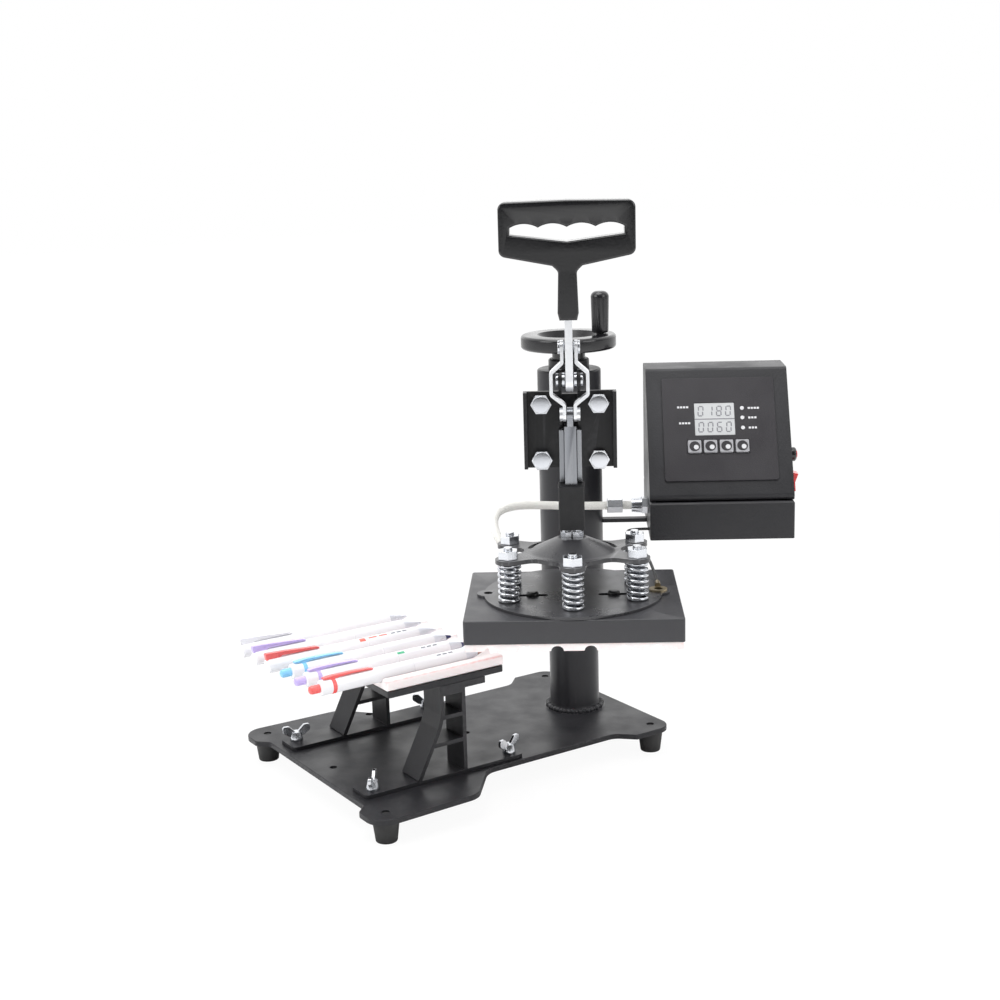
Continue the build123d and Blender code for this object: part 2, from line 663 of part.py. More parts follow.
# Clamp sides: bolted flange with a folded lip, and an ear that carries the handle's pin
for node, side in (("clamp_side_left", -1), ("clamp_side_right", 1)):
    with BuildPart() as clamp_side:
        with BuildSketch(across(FACE_R)):
            with Locations((side * (EAR_IN + PLATE_OUT) / 2, (PLATE_BOTTOM + PLATE_TOP) / 2)):
                Rectangle(PLATE_OUT - EAR_IN, PLATE_TOP - PLATE_BOTTOM)
            with Locations(*[(side * BOLT_OUT, z) for z in BOLT_Z]):
                Circle(BOLT_R + BOLT_GAP, mode=Mode.SUBTRACT)
        extrude(amount=PLATE_T)
        with BuildSketch(across(FACE_R)):
            with Locations((side * (PLATE_OUT - LIP_T / 2), (PLATE_BOTTOM + PLATE_TOP) / 2)):
                Rectangle(LIP_T, PLATE_TOP - PLATE_BOTTOM)
        extrude(amount=PLATE_T + LIP_D)
        with BuildSketch(along(side * (EAR_IN + EAR_T / 2))):
            with BuildLine():
                Polyline((FACE_R, GUIDE_TOP + 3), (FACE_R + 8, GUIDE_TOP + 3), (FACE_R + 8, PLATE_TOP - 6),
                         (REACH - 2, PIVOT_A - EAR_R), (REACH - 3, PIVOT_A + EAR_R - 0.6), (FACE_R, PLATE_TOP),
                         close=True)
            make_face()
            with Locations((REACH, PIVOT_A)):
                Circle(EAR_R)
                Circle(PIN_A + SEAT, mode=Mode.SUBTRACT)
        extrude(amount=EAR_T / 2, both=True)
    save(clamp_side.part, node)

# Four hex bolts with their nuts behind the end plate
with BuildPart() as clamp_bolts:
    for side in (1, -1):
        for z in BOLT_Z:
            with BuildSketch(across(PLATE_FRONT)):
                with Locations((side * BOLT_OUT, z)):
                    hexagon(BOLT_AF)
            extrude(amount=BOLT_HEAD)
            with BuildSketch(across(FACE_R - END_T - BOLT_HEAD - 1)):
                with Locations((side * BOLT_OUT, z)):
                    Circle(BOLT_R)
            extrude(amount=END_T + PLATE_T + BOLT_HEAD + 1.5)
            with BuildSketch(across(FACE_R - END_T)):
                with Locations((side * BOLT_OUT, z)):
                    hexagon(BOLT_AF)
            extrude(amount=-BOLT_HEAD)
save(clamp_bolts.part, "clamp_bolts")

# Plunger guide: a channel whose lips hold the plunger's shoe
with BuildPart() as plunger_guide:
    with BuildSketch(level(GUIDE_BOTTOM)):
        with Locations((PLATE_FRONT + GUIDE_D / 2, 0)):
            Rectangle(GUIDE_D, 2 * (GUIDE_IN + GUIDE_T))
        with Locations((PLATE_FRONT + GUIDE_T + GUIDE_SPACE / 2, 0)):
            Rectangle(GUIDE_SPACE, 2 * GUIDE_IN, mode=Mode.SUBTRACT)
        with Locations((PLATE_FRONT + GUIDE_D, 0)):
            Rectangle(2 * GUIDE_T, 2 * (GUIDE_IN - GUIDE_LIP), mode=Mode.SUBTRACT)
    extrude(amount=GUIDE_TOP - GUIDE_BOTTOM)
save(plunger_guide.part, "plunger_guide")

# Handle pin: runs through both ears and the handle bar
with BuildPart() as handle_pin:
    with BuildSketch(along(0)):
        with Locations((REACH, PIVOT_A)):
            Circle(PIN_A)
    extrude(amount=EAR_IN + EAR_T + 0.5, both=True)
    for side in (1, -1):
        for start, size, thick in ((BAR_T / 2 + CLEAR, 5, EAR_IN - BAR_T / 2 - CLEAR),
                                   (EAR_IN + EAR_T, 4.6, 2)):
            with BuildSketch(along(side * (start + thick / 2))):
                with Locations((REACH, PIVOT_A)):
                    Circle(size)
            extrude(amount=thick / 2, both=True)
save(handle_pin.part, "handle_pin")

# Handle bar and grip
with BuildPart() as handle_bar:
    with BuildSketch(along(0)):
        with Locations((REACH, PIVOT_A)):
            Circle(BAR_W / 2)
        with Locations((REACH, (PIVOT_A + BAR_TOP) / 2)):
            Rectangle(BAR_W, BAR_TOP - PIVOT_A)
        with Locations((REACH, PIVOT_A)):
            Circle(PIN_A + RUNNING, mode=Mode.SUBTRACT)
        with Locations((REACH, PIVOT_B)):
            Circle(PIN_B + RUNNING, mode=Mode.SUBTRACT)
    extrude(amount=BAR_T / 2, both=True)
save(handle_bar.part, "handle_bar")

with BuildPart() as handle_grip:
    with BuildSketch(across(REACH)) as grip:
        with BuildLine():
            half = Polyline((0, STEM_BOTTOM), (STEM_HALF - 1.2, STEM_BOTTOM), (STEM_HALF, STEM_BOTTOM + 5),
                            (STEM_HALF - 0.9, GRIP_CHIN - 3), (STEM_HALF + 3, GRIP_CHIN + 0.8),
                            (GRIP_HALF, GRIP_SHOULDER), (GRIP_HALF, GRIP_TOP - 0.8), (0, GRIP_TOP))
            mirror(half, about=Plane.YZ)
        make_face()
        rounds = ((GRIP_TOP - 0.8, 5), (GRIP_SHOULDER, 5), (GRIP_CHIN - 3, 4))
        for height, radius in rounds:
            fillet(grip.vertices().filter_by_position(Axis.Y, height - 0.5, height + 0.5), radius)
        with BuildLine():
            finger = 2 * LOOP_HALF / FINGERS
            Polyline((-LOOP_HALF, LOOP_TOP), (-LOOP_HALF, LOOP_SIDE), (0, LOOP_BOTTOM), (LOOP_HALF, LOOP_SIDE),
                     (LOOP_HALF, LOOP_TOP))
            for i in range(FINGERS):
                right = LOOP_HALF - i * finger
                ThreePointArc((right, LOOP_TOP), (right - finger / 2, LOOP_TOP + FINGER_RISE),
                              (right - finger, LOOP_TOP))
        make_face(mode=Mode.SUBTRACT)
    extrude(amount=GRIP_D / 2, both=True)
    by_depth = handle_grip.faces().sort_by(Axis((0, 0, 0), tuple(HEAD.x_dir)))
    fillet(by_depth[0].edges() + by_depth[-1].edges(), GRIP_ROUND)
    with BuildSketch(level(STEM_BOTTOM)):
        with Locations((REACH, 0)):
            Rectangle(BAR_W + 2 * SEAT, BAR_T + 2 * SEAT)
    extrude(amount=BAR_TOP - STEM_BOTTOM + SEAT, mode=Mode.SUBTRACT)
save(handle_grip.part, "handle_grip")

# Straps: bowed out round the ears, each with its own rivet head at the plunger
for node, side in (("strap_left", -1), ("strap_right", 1)):
    with BuildPart() as strap:
        with BuildSketch(across(REACH - STRAP_W / 2)):
            with BuildLine():
                route = ((STRAP_TOP_OUT, STRAP_TOP), (STRAP_TOP_OUT, STRAP_BOW[0]),
                         (STRAP_BOW_OUT, STRAP_BOW[1]), (STRAP_BOW_OUT, STRAP_BOW[2]),
                         (STRAP_END_OUT, STRAP_BOW[3]), (STRAP_END_OUT, STRAP_BOTTOM))
                FilletPolyline(*[(side * t, z) for t, z in route], radius=STRAP_BEND)
            trace(line_width=STRAP_T)
        extrude(amount=STRAP_W)
        square = strap.edges().filter_by(SIDEWAYS)
        fillet(square.group_by(Axis.Z)[-1] + square.group_by(Axis.Z)[0], STRAP_W / 2 - 0.1)
        outer_face = STRAP_END_OUT + STRAP_T / 2
        with BuildSketch(along(side * (outer_face + RIVET_H / 2 - 0.1))):
            with Locations((REACH, PIVOT_C)):
                Circle(RIVET_R)
        extrude(amount=RIVET_H / 2 + 0.1, both=True)
        with BuildSketch(along(side * STRAP_TOP_OUT)):
            with Locations((REACH, PIVOT_B)):
                Circle(PIN_B + SEAT)
        extrude(amount=STRAP_T, both=True, mode=Mode.SUBTRACT)
    save(strap.part, node)

with BuildPart() as strap_pin:
    strap_out = STRAP_TOP_OUT + STRAP_T / 2
    strap_in = STRAP_TOP_OUT - STRAP_T / 2
    with BuildSketch(along(0)):
        with Locations((REACH, PIVOT_B)):
            Circle(PIN_B)
    extrude(amount=strap_out + 0.5, both=True)
    for side in (1, -1):
        for start, end, size in ((BAR_T / 2 + CLEAR, strap_in, 3.8), (strap_out, strap_out + 1.6, RIVET_R)):
            with BuildSketch(along(side * (start + end) / 2)):
                with Locations((REACH, PIVOT_B)):
                    Circle(size)
            extrude(amount=(end - start) / 2, both=True)
save(strap_pin.part, "strap_pin")

# Plunger: shoe in the guide, rib in front, tongue between the straps
with BuildPart() as plunger:
    shoe_back = PLATE_FRONT + GUIDE_T + RUNNING
    rib_top = STRAP_BOTTOM - 3
    with BuildSketch(level(BLOCK_TOP)):
        with Locations((shoe_back + SHOE_D / 2, 0)):
            Rectangle(SHOE_D, 2 * (GUIDE_IN - RUNNING))
    extrude(amount=GUIDE_TOP - 1 - BLOCK_TOP)
    with BuildSketch(level(BLOCK_TOP)):
        with Locations(((shoe_back + RIB_FRONT) / 2, 0)):
            Rectangle(RIB_FRONT - shoe_back, 2 * RIB_HALF)
    extrude(amount=rib_top - BLOCK_TOP)
    with BuildSketch(along(0)):
        with Locations((REACH, PIVOT_C)):
            Circle(TONGUE_R)
        with Locations((REACH, (rib_top + PIVOT_C) / 2)):
            Rectangle(2 * TONGUE_R - 1.5, PIVOT_C - rib_top)
        with Locations((REACH, PIVOT_C)):
            Circle(2, mode=Mode.SUBTRACT)
    extrude(amount=TONGUE_HALF, both=True)
save(plunger.part, "plunger")

with BuildPart() as coupling_block:
    with BuildSketch(level(BLOCK_BOTTOM, REACH)):
        Rectangle(BLOCK_D, BLOCK_W)
        with Locations((0, HUB_BOLT_OUT), (0, -HUB_BOLT_OUT)):
            Circle(HUB_BOLT_R + SEAT, mode=Mode.SUBTRACT)
    extrude(amount=BLOCK_H / 2)
    with BuildSketch(level(BLOCK_BOTTOM + BLOCK_H / 2, REACH)):
        Rectangle(BLOCK_D, BLOCK_W)
    extrude(amount=BLOCK_H / 2)
    chamfer(coupling_block.edges().filter_by(Axis.Z), 0.8)
save(coupling_block.part, "coupling_block")

# Two bolts between the spider's dome and the block
with BuildPart() as coupling_bolts:
    for side in (1, -1):
        with BuildSketch(level(DOME_TOP - SPIDER_T, REACH, side * HUB_BOLT_OUT)):
            Circle(HUB_BOLT_R)
        extrude(amount=BLOCK_BOTTOM + BLOCK_H / 2 - 1 - DOME_TOP + SPIDER_T)
        with BuildSketch(level(DOME_TOP, REACH, side * HUB_BOLT_OUT)):
            hexagon(HUB_NUT_AF)
        extrude(amount=HUB_NUT_H)
save(coupling_bolts.part, "coupling_bolts")

# Spider: pressed plate with a dome and six lugs
with BuildPart() as spider_plate:
    spider_under = SPIDER_TOP - SPIDER_T
    with BuildSketch(level(spider_under, REACH)) as spider:
        Circle(SPIDER_R)
        for out, side in LUGS:
            with Locations(Location((out / 2, side / 2), degrees(atan2(side, out)))):
                Rectangle(hypot(out, side), 2 * SPIDER_WEB)
        fillet(spider.vertices().filter_by(lambda v: abs(hypot(v.X, v.Y) - SPIDER_R) < 0.1), SPIDER_ROUND)
        with Locations(*LUGS):
            Circle(LUG_R + 0.3)
            Circle(STUD_R + RUNNING, mode=Mode.SUBTRACT)
        Circle(DOME_FOOT - 2, mode=Mode.SUBTRACT)
    extrude(amount=SPIDER_T)
    with BuildSketch(Plane(origin=at(REACH, 0, 0), x_dir=HEAD.x_dir, z_dir=HEAD.y_dir * -1)) as dome:
        with BuildLine():
            Polyline((0, DOME_TOP), (DOME_FLAT, DOME_TOP), (DOME_FOOT, SPIDER_TOP),
                     (DOME_FOOT + 2, SPIDER_TOP), (DOME_FOOT + 2, spider_under),
                     (DOME_FOOT - 1, spider_under), (DOME_FLAT - 1, DOME_TOP - SPIDER_T),
                     (0, DOME_TOP - SPIDER_T), close=True)
        make_face()
        for start in (DOME_FLAT - 1, DOME_FLAT, DOME_FOOT - 1, DOME_FOOT):
            fillet(dome.vertices().filter_by_position(Axis.X, start - 0.1, start + 0.1), 8)
    revolve(axis=Axis(tuple(at(REACH, 0, 0)), (0, 0, 1)))
    for start in (SLOT_FROM, -SLOT_FROM - SLOT_SWEEP):
        with BuildSketch(level(spider_under - 1, REACH)):
            with BuildLine(mode=Mode.PRIVATE) as slot_line:
                CenterArc((0, 0), SLOT_R, start, SLOT_SWEEP)
            SlotArc(slot_line.edges()[0], SLOT_W)
        extrude(amount=SPIDER_T + 6, mode=Mode.SUBTRACT)
    with BuildSketch(level(spider_under, REACH)):
        with Locations((0, HUB_BOLT_OUT), (0, -HUB_BOLT_OUT)):
            Circle(HUB_BOLT_R + SEAT)
    extrude(amount=DOME_TOP - spider_under + 1, mode=Mode.SUBTRACT)
save(spider_plate.part, "spider_plate")

# Springs round the studs
with BuildPart() as float_springs:
    coil = (SPIDER_TOP - SPIDER_T - DISC_TOP) / SPRING_COILS
    for out, side in LUGS:
        with BuildSketch(Plane(origin=at(REACH + out, side, DISC_TOP), x_dir=HEAD.x_dir,
                               z_dir=HEAD.y_dir * -1)):
            with BuildLine():
                wave = [(SPRING_R - SPRING_WIRE, SPRING_COILS * coil), (SPRING_R - SPRING_WIRE, 0)]
                for i in range(SPRING_COILS):
                    wave += [(SPRING_R - SPRING_WIRE / 2, i * coil), (SPRING_R, (i + 0.3) * coil),
                             (SPRING_R, (i + 0.7) * coil)]
                wave += [(SPRING_R - SPRING_WIRE / 2, SPRING_COILS * coil)]
                Polyline(*wave, close=True)
            make_face()
        revolve(axis=Axis(tuple(at(REACH + out, side, 0)), (0, 0, 1)))
save(float_springs.part, "float_springs")

# Studs with their nuts above the lugs
with BuildPart() as float_studs:
    for out, side in LUGS:
        with BuildSketch(level(PLATEN_TOP, REACH + out, side)):
            Circle(STUD_R)
        extrude(amount=SPIDER_TOP + STUD_NUT_H + STUD_OVER - PLATEN_TOP)
        with BuildSketch(level(SPIDER_TOP, REACH + out, side)):
            hexagon(STUD_NUT_AF)
        extrude(amount=STUD_NUT_H)
save(float_studs.part, "float_studs")

# Disc that carries the studs, screwed to the hot plate
with BuildPart() as float_disc:
    with BuildSketch(level(PLATEN_TOP, REACH)):
        Circle(DISC_R)
        with Locations((0, EAR_OUT), (0, -EAR_OUT)):
            Circle(DISC_EAR_R)
            Circle(DISC_EAR_HOLE, mode=Mode.SUBTRACT)
        with Locations(*LUGS):
            Circle(STUD_R + SEAT, mode=Mode.SUBTRACT)
        with Locations((DISC_SLOT_R, DISC_SLOT_OUT), (DISC_SLOT_R, -DISC_SLOT_OUT)):
            SlotOverall(DISC_SLOT_L, DISC_SLOT_W, rotation=90, mode=Mode.SUBTRACT)
    extrude(amount=DISC_T)
save(float_disc.part, "float_disc")

with BuildPart() as disc_screws:
    for side in (1, -1):
        with BuildSketch(level(PLATEN_TOP - SLOT_DEPTH, REACH + DISC_SLOT_R, side * DISC_SCREW_OUT)):
            Circle(DISC_SLOT_W / 2 - 0.5 - RUNNING)
        extrude(amount=DISC_T + SLOT_DEPTH)
        with BuildSketch(level(DISC_TOP, REACH + DISC_SLOT_R, side * DISC_SCREW_OUT)):
            Circle(DISC_SCREW_HEAD)
        extrude(amount=DISC_SCREW_H)
    fillet(disc_screws.edges().group_by(Axis.Z)[-1], DISC_SCREW_H * 0.7)
save(disc_screws.part, "disc_screws")

# Hot plate and its grooved pad
with BuildPart() as hot_plate:
    with BuildSketch(level(PLATEN_BOTTOM, REACH)):
        RectangleRounded(PLATEN_R_SIZE, PLATEN_T_SIZE, 2)
    extrude(amount=PLATEN_H)
    chamfer(hot_plate.edges().group_by(Axis.Z)[-1], 0.5)
    with BuildSketch(level(PLATEN_TOP, REACH)):
        with Locations((DISC_SLOT_R, DISC_SLOT_OUT), (DISC_SLOT_R, -DISC_SLOT_OUT)):
            SlotOverall(DISC_SLOT_L - 1, DISC_SLOT_W - 1, rotation=90)
    extrude(amount=-SLOT_DEPTH, mode=Mode.SUBTRACT)
save(hot_plate.part, "hot_plate")

with BuildPart() as heat_pad:
    with BuildSketch(across(REACH - PLATEN_R_SIZE / 2 + PAD_MARGIN)):
        with Locations((0, PLATEN_BOTTOM - HEAT_PAD_T / 2)):
            Rectangle(PLATEN_T_SIZE - 2 * PAD_MARGIN, HEAT_PAD_T)
        with Locations(*[(t, PLATEN_BOTTOM - HEAT_PAD_T) for t in GROOVES]):
            Ellipse(HEAT_GROOVE_W / 2, HEAT_GROOVE_H, mode=Mode.SUBTRACT)
    extrude(amount=PLATEN_R_SIZE - 2 * PAD_MARGIN)
save(heat_pad.part, "heat_pad")

# Bush where the heater lead enters the hot plate
with BuildPart() as lead_bush:
    with BuildSketch(level(PLATEN_TOP, *BUSH)):
        Circle(BUSH_R)
    extrude(amount=BUSH_H)
    chamfer(lead_bush.edges().group_by(Axis.Z)[-1].sort_by(SortBy.LENGTH)[-1], 1)
save(lead_bush.part, "lead_bush")

# Ring terminal on the disc's right ear
with BuildPart() as sensor_terminal:
    with BuildSketch(level(DISC_TOP, REACH, EAR_OUT)):
        Circle(TERMINAL_R)
        Circle(DISC_EAR_HOLE, mode=Mode.SUBTRACT)
    extrude(amount=TERMINAL_T)
    with BuildSketch(across(BARREL_END)):
        with Locations((EAR_OUT, DISC_TOP + BARREL_R)):
            Circle(BARREL_R)
    extrude(amount=REACH - TERMINAL_R + 0.8 - BARREL_END)
save(sensor_terminal.part, "sensor_terminal")

# Arm of the control box
with BuildPart() as box_arm:
    with BuildSketch(level(BOX_ARM_Z)):
        with Locations((0, BOX_LEFT / 2)):
            Rectangle(BOX_ARM_D, BOX_LEFT)
        Circle(SLEEVE_R + SEAT, mode=Mode.SUBTRACT)
        with Locations((0, -BOX_LEFT / 2)):
            Rectangle(2 * SLEEVE_R, BOX_LEFT, mode=Mode.SUBTRACT)
    extrude(amount=BOX_ARM_T)
save(box_arm.part, "box_arm")

# Control box: wedge shell over a tray
with BuildPart() as case_shell:
    with BuildSketch(along(BOX_LEFT)) as side_view:
        with BuildLine():
            Polyline((BOX_BACK, BOX_SEAM), (BOX_FRONT, BOX_SEAM), (0, BOX_TOP), (BOX_BACK, BOX_TOP),
                     close=True)
        make_face()
        fillet(side_view.vertices().group_by(Axis.Z)[-1], 4)
    extrude(amount=-BOX_W)
    with BuildSketch(along(BOX_LEFT + BOX_WALL)):
        add(side_view.sketch_local)
        offset(amount=-BOX_WALL, mode=Mode.REPLACE)
        with BuildLine():
            Polyline((BOX_BACK + BOX_WALL, BOX_SEAM - 1), (BOX_FRONT - 2 * BOX_WALL, BOX_SEAM - 1),
                     (BOX_FRONT - 2 * BOX_WALL, BOX_SEAM + BOX_WALL),
                     (BOX_BACK + BOX_WALL, BOX_SEAM + BOX_WALL), close=True)
        make_face()
    extrude(amount=2 * BOX_WALL - BOX_W, mode=Mode.SUBTRACT)
    with BuildSketch(on_slope(-2 * BOX_WALL)):
        with Locations(WINDOW):
            Rectangle(WINDOW_SIZE[0] + 2 * SEAT, WINDOW_SIZE[1] + 2 * SEAT)
        with Locations(*[(KEY_FIRST + i * KEY_PITCH, KEY_UP) for i in range(KEYS)]):
            Rectangle(KEY_SIZE + 2 * CLEAR, KEY_SIZE + 2 * CLEAR)
    extrude(amount=3 * BOX_WALL, mode=Mode.SUBTRACT)
    with BuildSketch(along(BOX_LEFT + BOX_W + 1)):
        with Locations(ROCKER):
            Rectangle(ROCKER_W + 2 * CLEAR, ROCKER_H + 2 * CLEAR + 1)
        with Locations(FUSE):
            Circle(FUSE_R - 1.5 + SEAT)
    extrude(amount=2 * BOX_WALL, mode=Mode.SUBTRACT)
save(case_shell.part, "case_shell")

with BuildPart() as case_tray:
    with BuildSketch(level(BOX_BOTTOM)):
        with Locations(((BOX_BACK + BOX_FRONT) / 2, BOX_LEFT + BOX_W / 2)):
            RectangleRounded(BOX_FRONT - BOX_BACK, BOX_W, 1.5)
    extrude(amount=BOX_SEAM - BOX_BOTTOM)
    chamfer(case_tray.faces().sort_by(Axis.Z)[-1].edges(), TRAY_LIP)
    offset(amount=-BOX_WALL, openings=case_tray.faces().sort_by(Axis.Z)[-1])
save(case_tray.part, "case_tray")

with BuildPart() as control_panel:
    with BuildSketch(on_slope()):
        with Locations(PANEL):
            RectangleRounded(PANEL_SIZE[0], PANEL_SIZE[1], 2)
        with Locations(WINDOW):
            Rectangle(WINDOW_SIZE[0] + 2 * SEAT, WINDOW_SIZE[1] + 2 * SEAT, mode=Mode.SUBTRACT)
        with Locations(*[(KEY_FIRST + i * KEY_PITCH, KEY_UP) for i in range(KEYS)]):
            Rectangle(KEY_SIZE + 2 * CLEAR, KEY_SIZE + 2 * CLEAR, mode=Mode.SUBTRACT)
    extrude(amount=PANEL_T)
save(control_panel.part, "control_panel")

with BuildPart() as display_window:
    with BuildSketch(on_slope(-BOX_WALL)):
        with Locations(WINDOW):
            Rectangle(*WINDOW_SIZE)
    extrude(amount=BOX_WALL + PANEL_T - 0.4)
save(display_window.part, "display_window")

for i in range(KEYS):
    with BuildPart() as key:
        with BuildSketch(on_slope(PANEL_T + 1.5 - KEY_H)):
            with Locations((KEY_FIRST + i * KEY_PITCH, KEY_UP)):
                RectangleRounded(KEY_SIZE, KEY_SIZE, 1)
        extrude(amount=KEY_H)
    save(key.part, f"key_{i + 1}")

# Power rocker: tilts about an axle that lies along the arm
with BuildPart() as power_rocker:
    pivot = (BOX_LEFT + BOX_W - 1, ROCKER[1])
    tilt = Location((pivot[0], pivot[1]), -ROCKER_TILT)
    with BuildSketch(across(ROCKER[0] - ROCKER_W / 2)) as rocker:
        with Locations(tilt):
            with BuildLine(mode=Mode.PRIVATE) as outline:
                Polyline((-1.2, -ROCKER_H / 2 + 0.4), (ROCKER_OUT + 0.6, -ROCKER_H / 2 + 0.8),
                         (ROCKER_OUT - 0.9, 0), (ROCKER_OUT + 0.6, ROCKER_H / 2 - 0.8),
                         (-1.2, ROCKER_H / 2 - 0.4), (-4, 0), close=True)
            add(make_face(outline.edges(), mode=Mode.PRIVATE))
    extrude(amount=ROCKER_W)
save(power_rocker.part, "power_rocker")

with BuildPart() as fuse_holder:
    with BuildSketch(along(BOX_LEFT + BOX_W)):
        with Locations(FUSE):
            Circle(FUSE_R)
    extrude(amount=-FUSE_OUT)
    with BuildSketch(along(BOX_LEFT + BOX_W - 12)):
        with Locations(FUSE):
            Circle(FUSE_R - 1.5)
    extrude(amount=-12)
    chamfer(fuse_holder.edges().filter_by(GeomType.CIRCLE).sort_by(SIDEWAYS)[-1], 1.2)
save(fuse_holder.part, "fuse_holder")

# Gland on the box and the ferrule that ends the lead's outer sleeve
with BuildPart() as lead_gland:
    with BuildSketch(along(BOX_LEFT)):
        with Locations(GLAND):
            hexagon(GLAND_AF)
    extrude(amount=GLAND_L)
    with BuildSketch(along(BOX_LEFT - GLAND_L)):
        with Locations(GLAND):
            Circle(GLAND_NUT_R)
    extrude(amount=GLAND_NUT_L, taper=6)
save(lead_gland.part, "lead_gland")

with BuildPart() as lead_ferrule:
    with BuildSketch(along(FERRULE[1])):
        with Locations(GLAND):
            hexagon(FERRULE_AF)
            Circle(LEAD_R + BOLT_GAP, mode=Mode.SUBTRACT)
    extrude(amount=FERRULE[1] - FERRULE[0])
save(lead_ferrule.part, "lead_ferrule")

# Heater lead: from inside the box, in front of the column, down to the hot plate
LEAD_POINTS = [
    (GLAND[0], BOX_LEFT - GLAND_L - GLAND_NUT_L, GLAND[1]),
    (GLAND[0], 24, GLAND[1]),
    (34, 0, 176),
    (42, -24, 179),
    (57, -46, 183),
    (78, -57, 185.5),
    (99, -55, 181),
    (BUSH[0], BUSH[1], 167),
    (BUSH[0], BUSH[1], PLATEN_TOP + BUSH_H),
]
WIRE_POINTS = [
    (48, BOX_LEFT, 160),
    (48, 51, 160),
    (57, 43, 161.5),
    (74, 42, 163.5),
    (98, 47, 163),
    (121, 55, 158),
    (138, EAR_OUT, DISC_TOP + BARREL_R),
    (BARREL_END, EAR_OUT, DISC_TOP + BARREL_R),
]


def lead(points, radius, node):
    """A tube along straight runs joined by tangent arcs."""
    route = [at(*p) for p in points]
    radii = smooth_route(node, route, radius)
    with BuildPart() as tube:
        with BuildLine() as path:
            FilletPolyline(*route, radius=radii)
        with BuildSketch(Plane(origin=route[0], z_dir=route[1] - route[0])):
            Circle(radius)
        sweep(path=path.wires()[0])
    length = path.wires()[0].length
    section = pi * radius**2
    print(node, "volume over section times length", round(tube.part.volume / (section * length), 4))
    return tube.part


save(lead(LEAD_POINTS, LEAD_R, "heater_lead"), "heater_lead")
save(lead(WIRE_POINTS, WIRE_R, "sensor_lead"), "sensor_lead")
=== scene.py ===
"""Looks of a heat press for pens: finishes, springs, pens, display, leads and studio."""
from math import cos, pi, radians, sin

import bmesh
import bpy
from mathutils import Matrix, Vector


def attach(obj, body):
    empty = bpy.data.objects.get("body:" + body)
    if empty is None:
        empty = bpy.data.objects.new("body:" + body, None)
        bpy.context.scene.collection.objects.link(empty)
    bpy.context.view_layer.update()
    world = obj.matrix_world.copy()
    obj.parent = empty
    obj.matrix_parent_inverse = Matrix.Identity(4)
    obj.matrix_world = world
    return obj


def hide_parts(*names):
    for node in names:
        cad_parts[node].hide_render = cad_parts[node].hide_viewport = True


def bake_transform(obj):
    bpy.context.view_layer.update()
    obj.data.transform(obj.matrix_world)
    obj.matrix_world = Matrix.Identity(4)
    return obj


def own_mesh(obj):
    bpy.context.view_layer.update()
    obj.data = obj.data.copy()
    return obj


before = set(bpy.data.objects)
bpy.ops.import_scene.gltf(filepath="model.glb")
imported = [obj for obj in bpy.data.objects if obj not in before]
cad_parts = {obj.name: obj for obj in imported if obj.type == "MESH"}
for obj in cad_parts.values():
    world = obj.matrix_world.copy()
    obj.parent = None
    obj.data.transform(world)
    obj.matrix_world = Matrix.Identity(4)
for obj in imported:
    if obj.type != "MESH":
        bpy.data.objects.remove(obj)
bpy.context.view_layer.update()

# Camera. A long lens stands 1.2 m from the press, a little above it and to the right of
# the bed, and is turned by under two degrees, as the photograph is.
camera_place = Vector((1.0366, -0.5762, 0.4661))
camera_turn, camera_dip, camera_roll = radians(57.0), radians(12.9), radians(-1.6)
ahead = Vector((-sin(camera_turn) * cos(camera_dip), cos(camera_turn) * cos(camera_dip),
                -sin(camera_dip)))
level_right = Vector((cos(camera_turn), sin(camera_turn), 0))
level_up = level_right.cross(ahead)
camera_right = level_right * cos(camera_roll) + level_up * sin(camera_roll)
camera_up = level_up * cos(camera_roll) - level_right * sin(camera_roll)
camera = bpy.data.objects.new("camera", bpy.data.cameras.new("camera"))
camera.data.sensor_width = 36
camera.data.lens = 58.68
camera_frame = Matrix((camera_right, camera_up, -ahead)).transposed().to_4x4()
camera.matrix_world = Matrix.Translation(camera_place) @ camera_frame
bpy.context.scene.collection.objects.link(camera)
bpy.context.scene.camera = camera

# Heater lead and sensor wire. The lead has a white woven glass sleeve and bends from the
# box's gland, round in front of the column, down into the hot plate. The wire is thin black
# plastic and ends in a crimped ring on the float disc.
head_turn = radians(54.5)
column_y = 0.165  # metres from the middle of the bed back to the column's axis
outward = Vector((sin(head_turn), -cos(head_turn), 0))
sideways = Vector((cos(head_turn), sin(head_turn), 0))


def on_head(out, side, height):
    """A point of the swinging head in metres, from millimetres out, sideways and up."""
    return Vector((0, column_y, height / 1000)) + outward * (out / 1000) + sideways * (side / 1000)


def placed(name, data):
    """A new object in the scene that holds a mesh, a curve or a lamp."""
    thing = bpy.data.objects.new(name, data)
    bpy.context.scene.collection.objects.link(thing)
    return thing


def applied(piece):
    """Makes the result of a piece's modifiers its mesh, and returns that mesh."""
    bpy.context.view_layer.update()
    graph = bpy.context.evaluated_depsgraph_get()
    made = bpy.data.meshes.new_from_object(piece.evaluated_get(graph))
    piece.modifiers.clear()
    piece.data = made
    return made


def new_node(tree, kind, values=None, operation=None):
    """A new node in a tree, with its operation and some of its inputs set."""
    node = tree.nodes.new(kind)
    if operation:
        node.operation = operation
    for socket, value in (values or {}).items():
        node.inputs[socket].default_value = value
    return node


def link_all(tree, pairs):
    """Links each output to its input in a tree."""
    for source, target in pairs:
        tree.links.new(source, target)


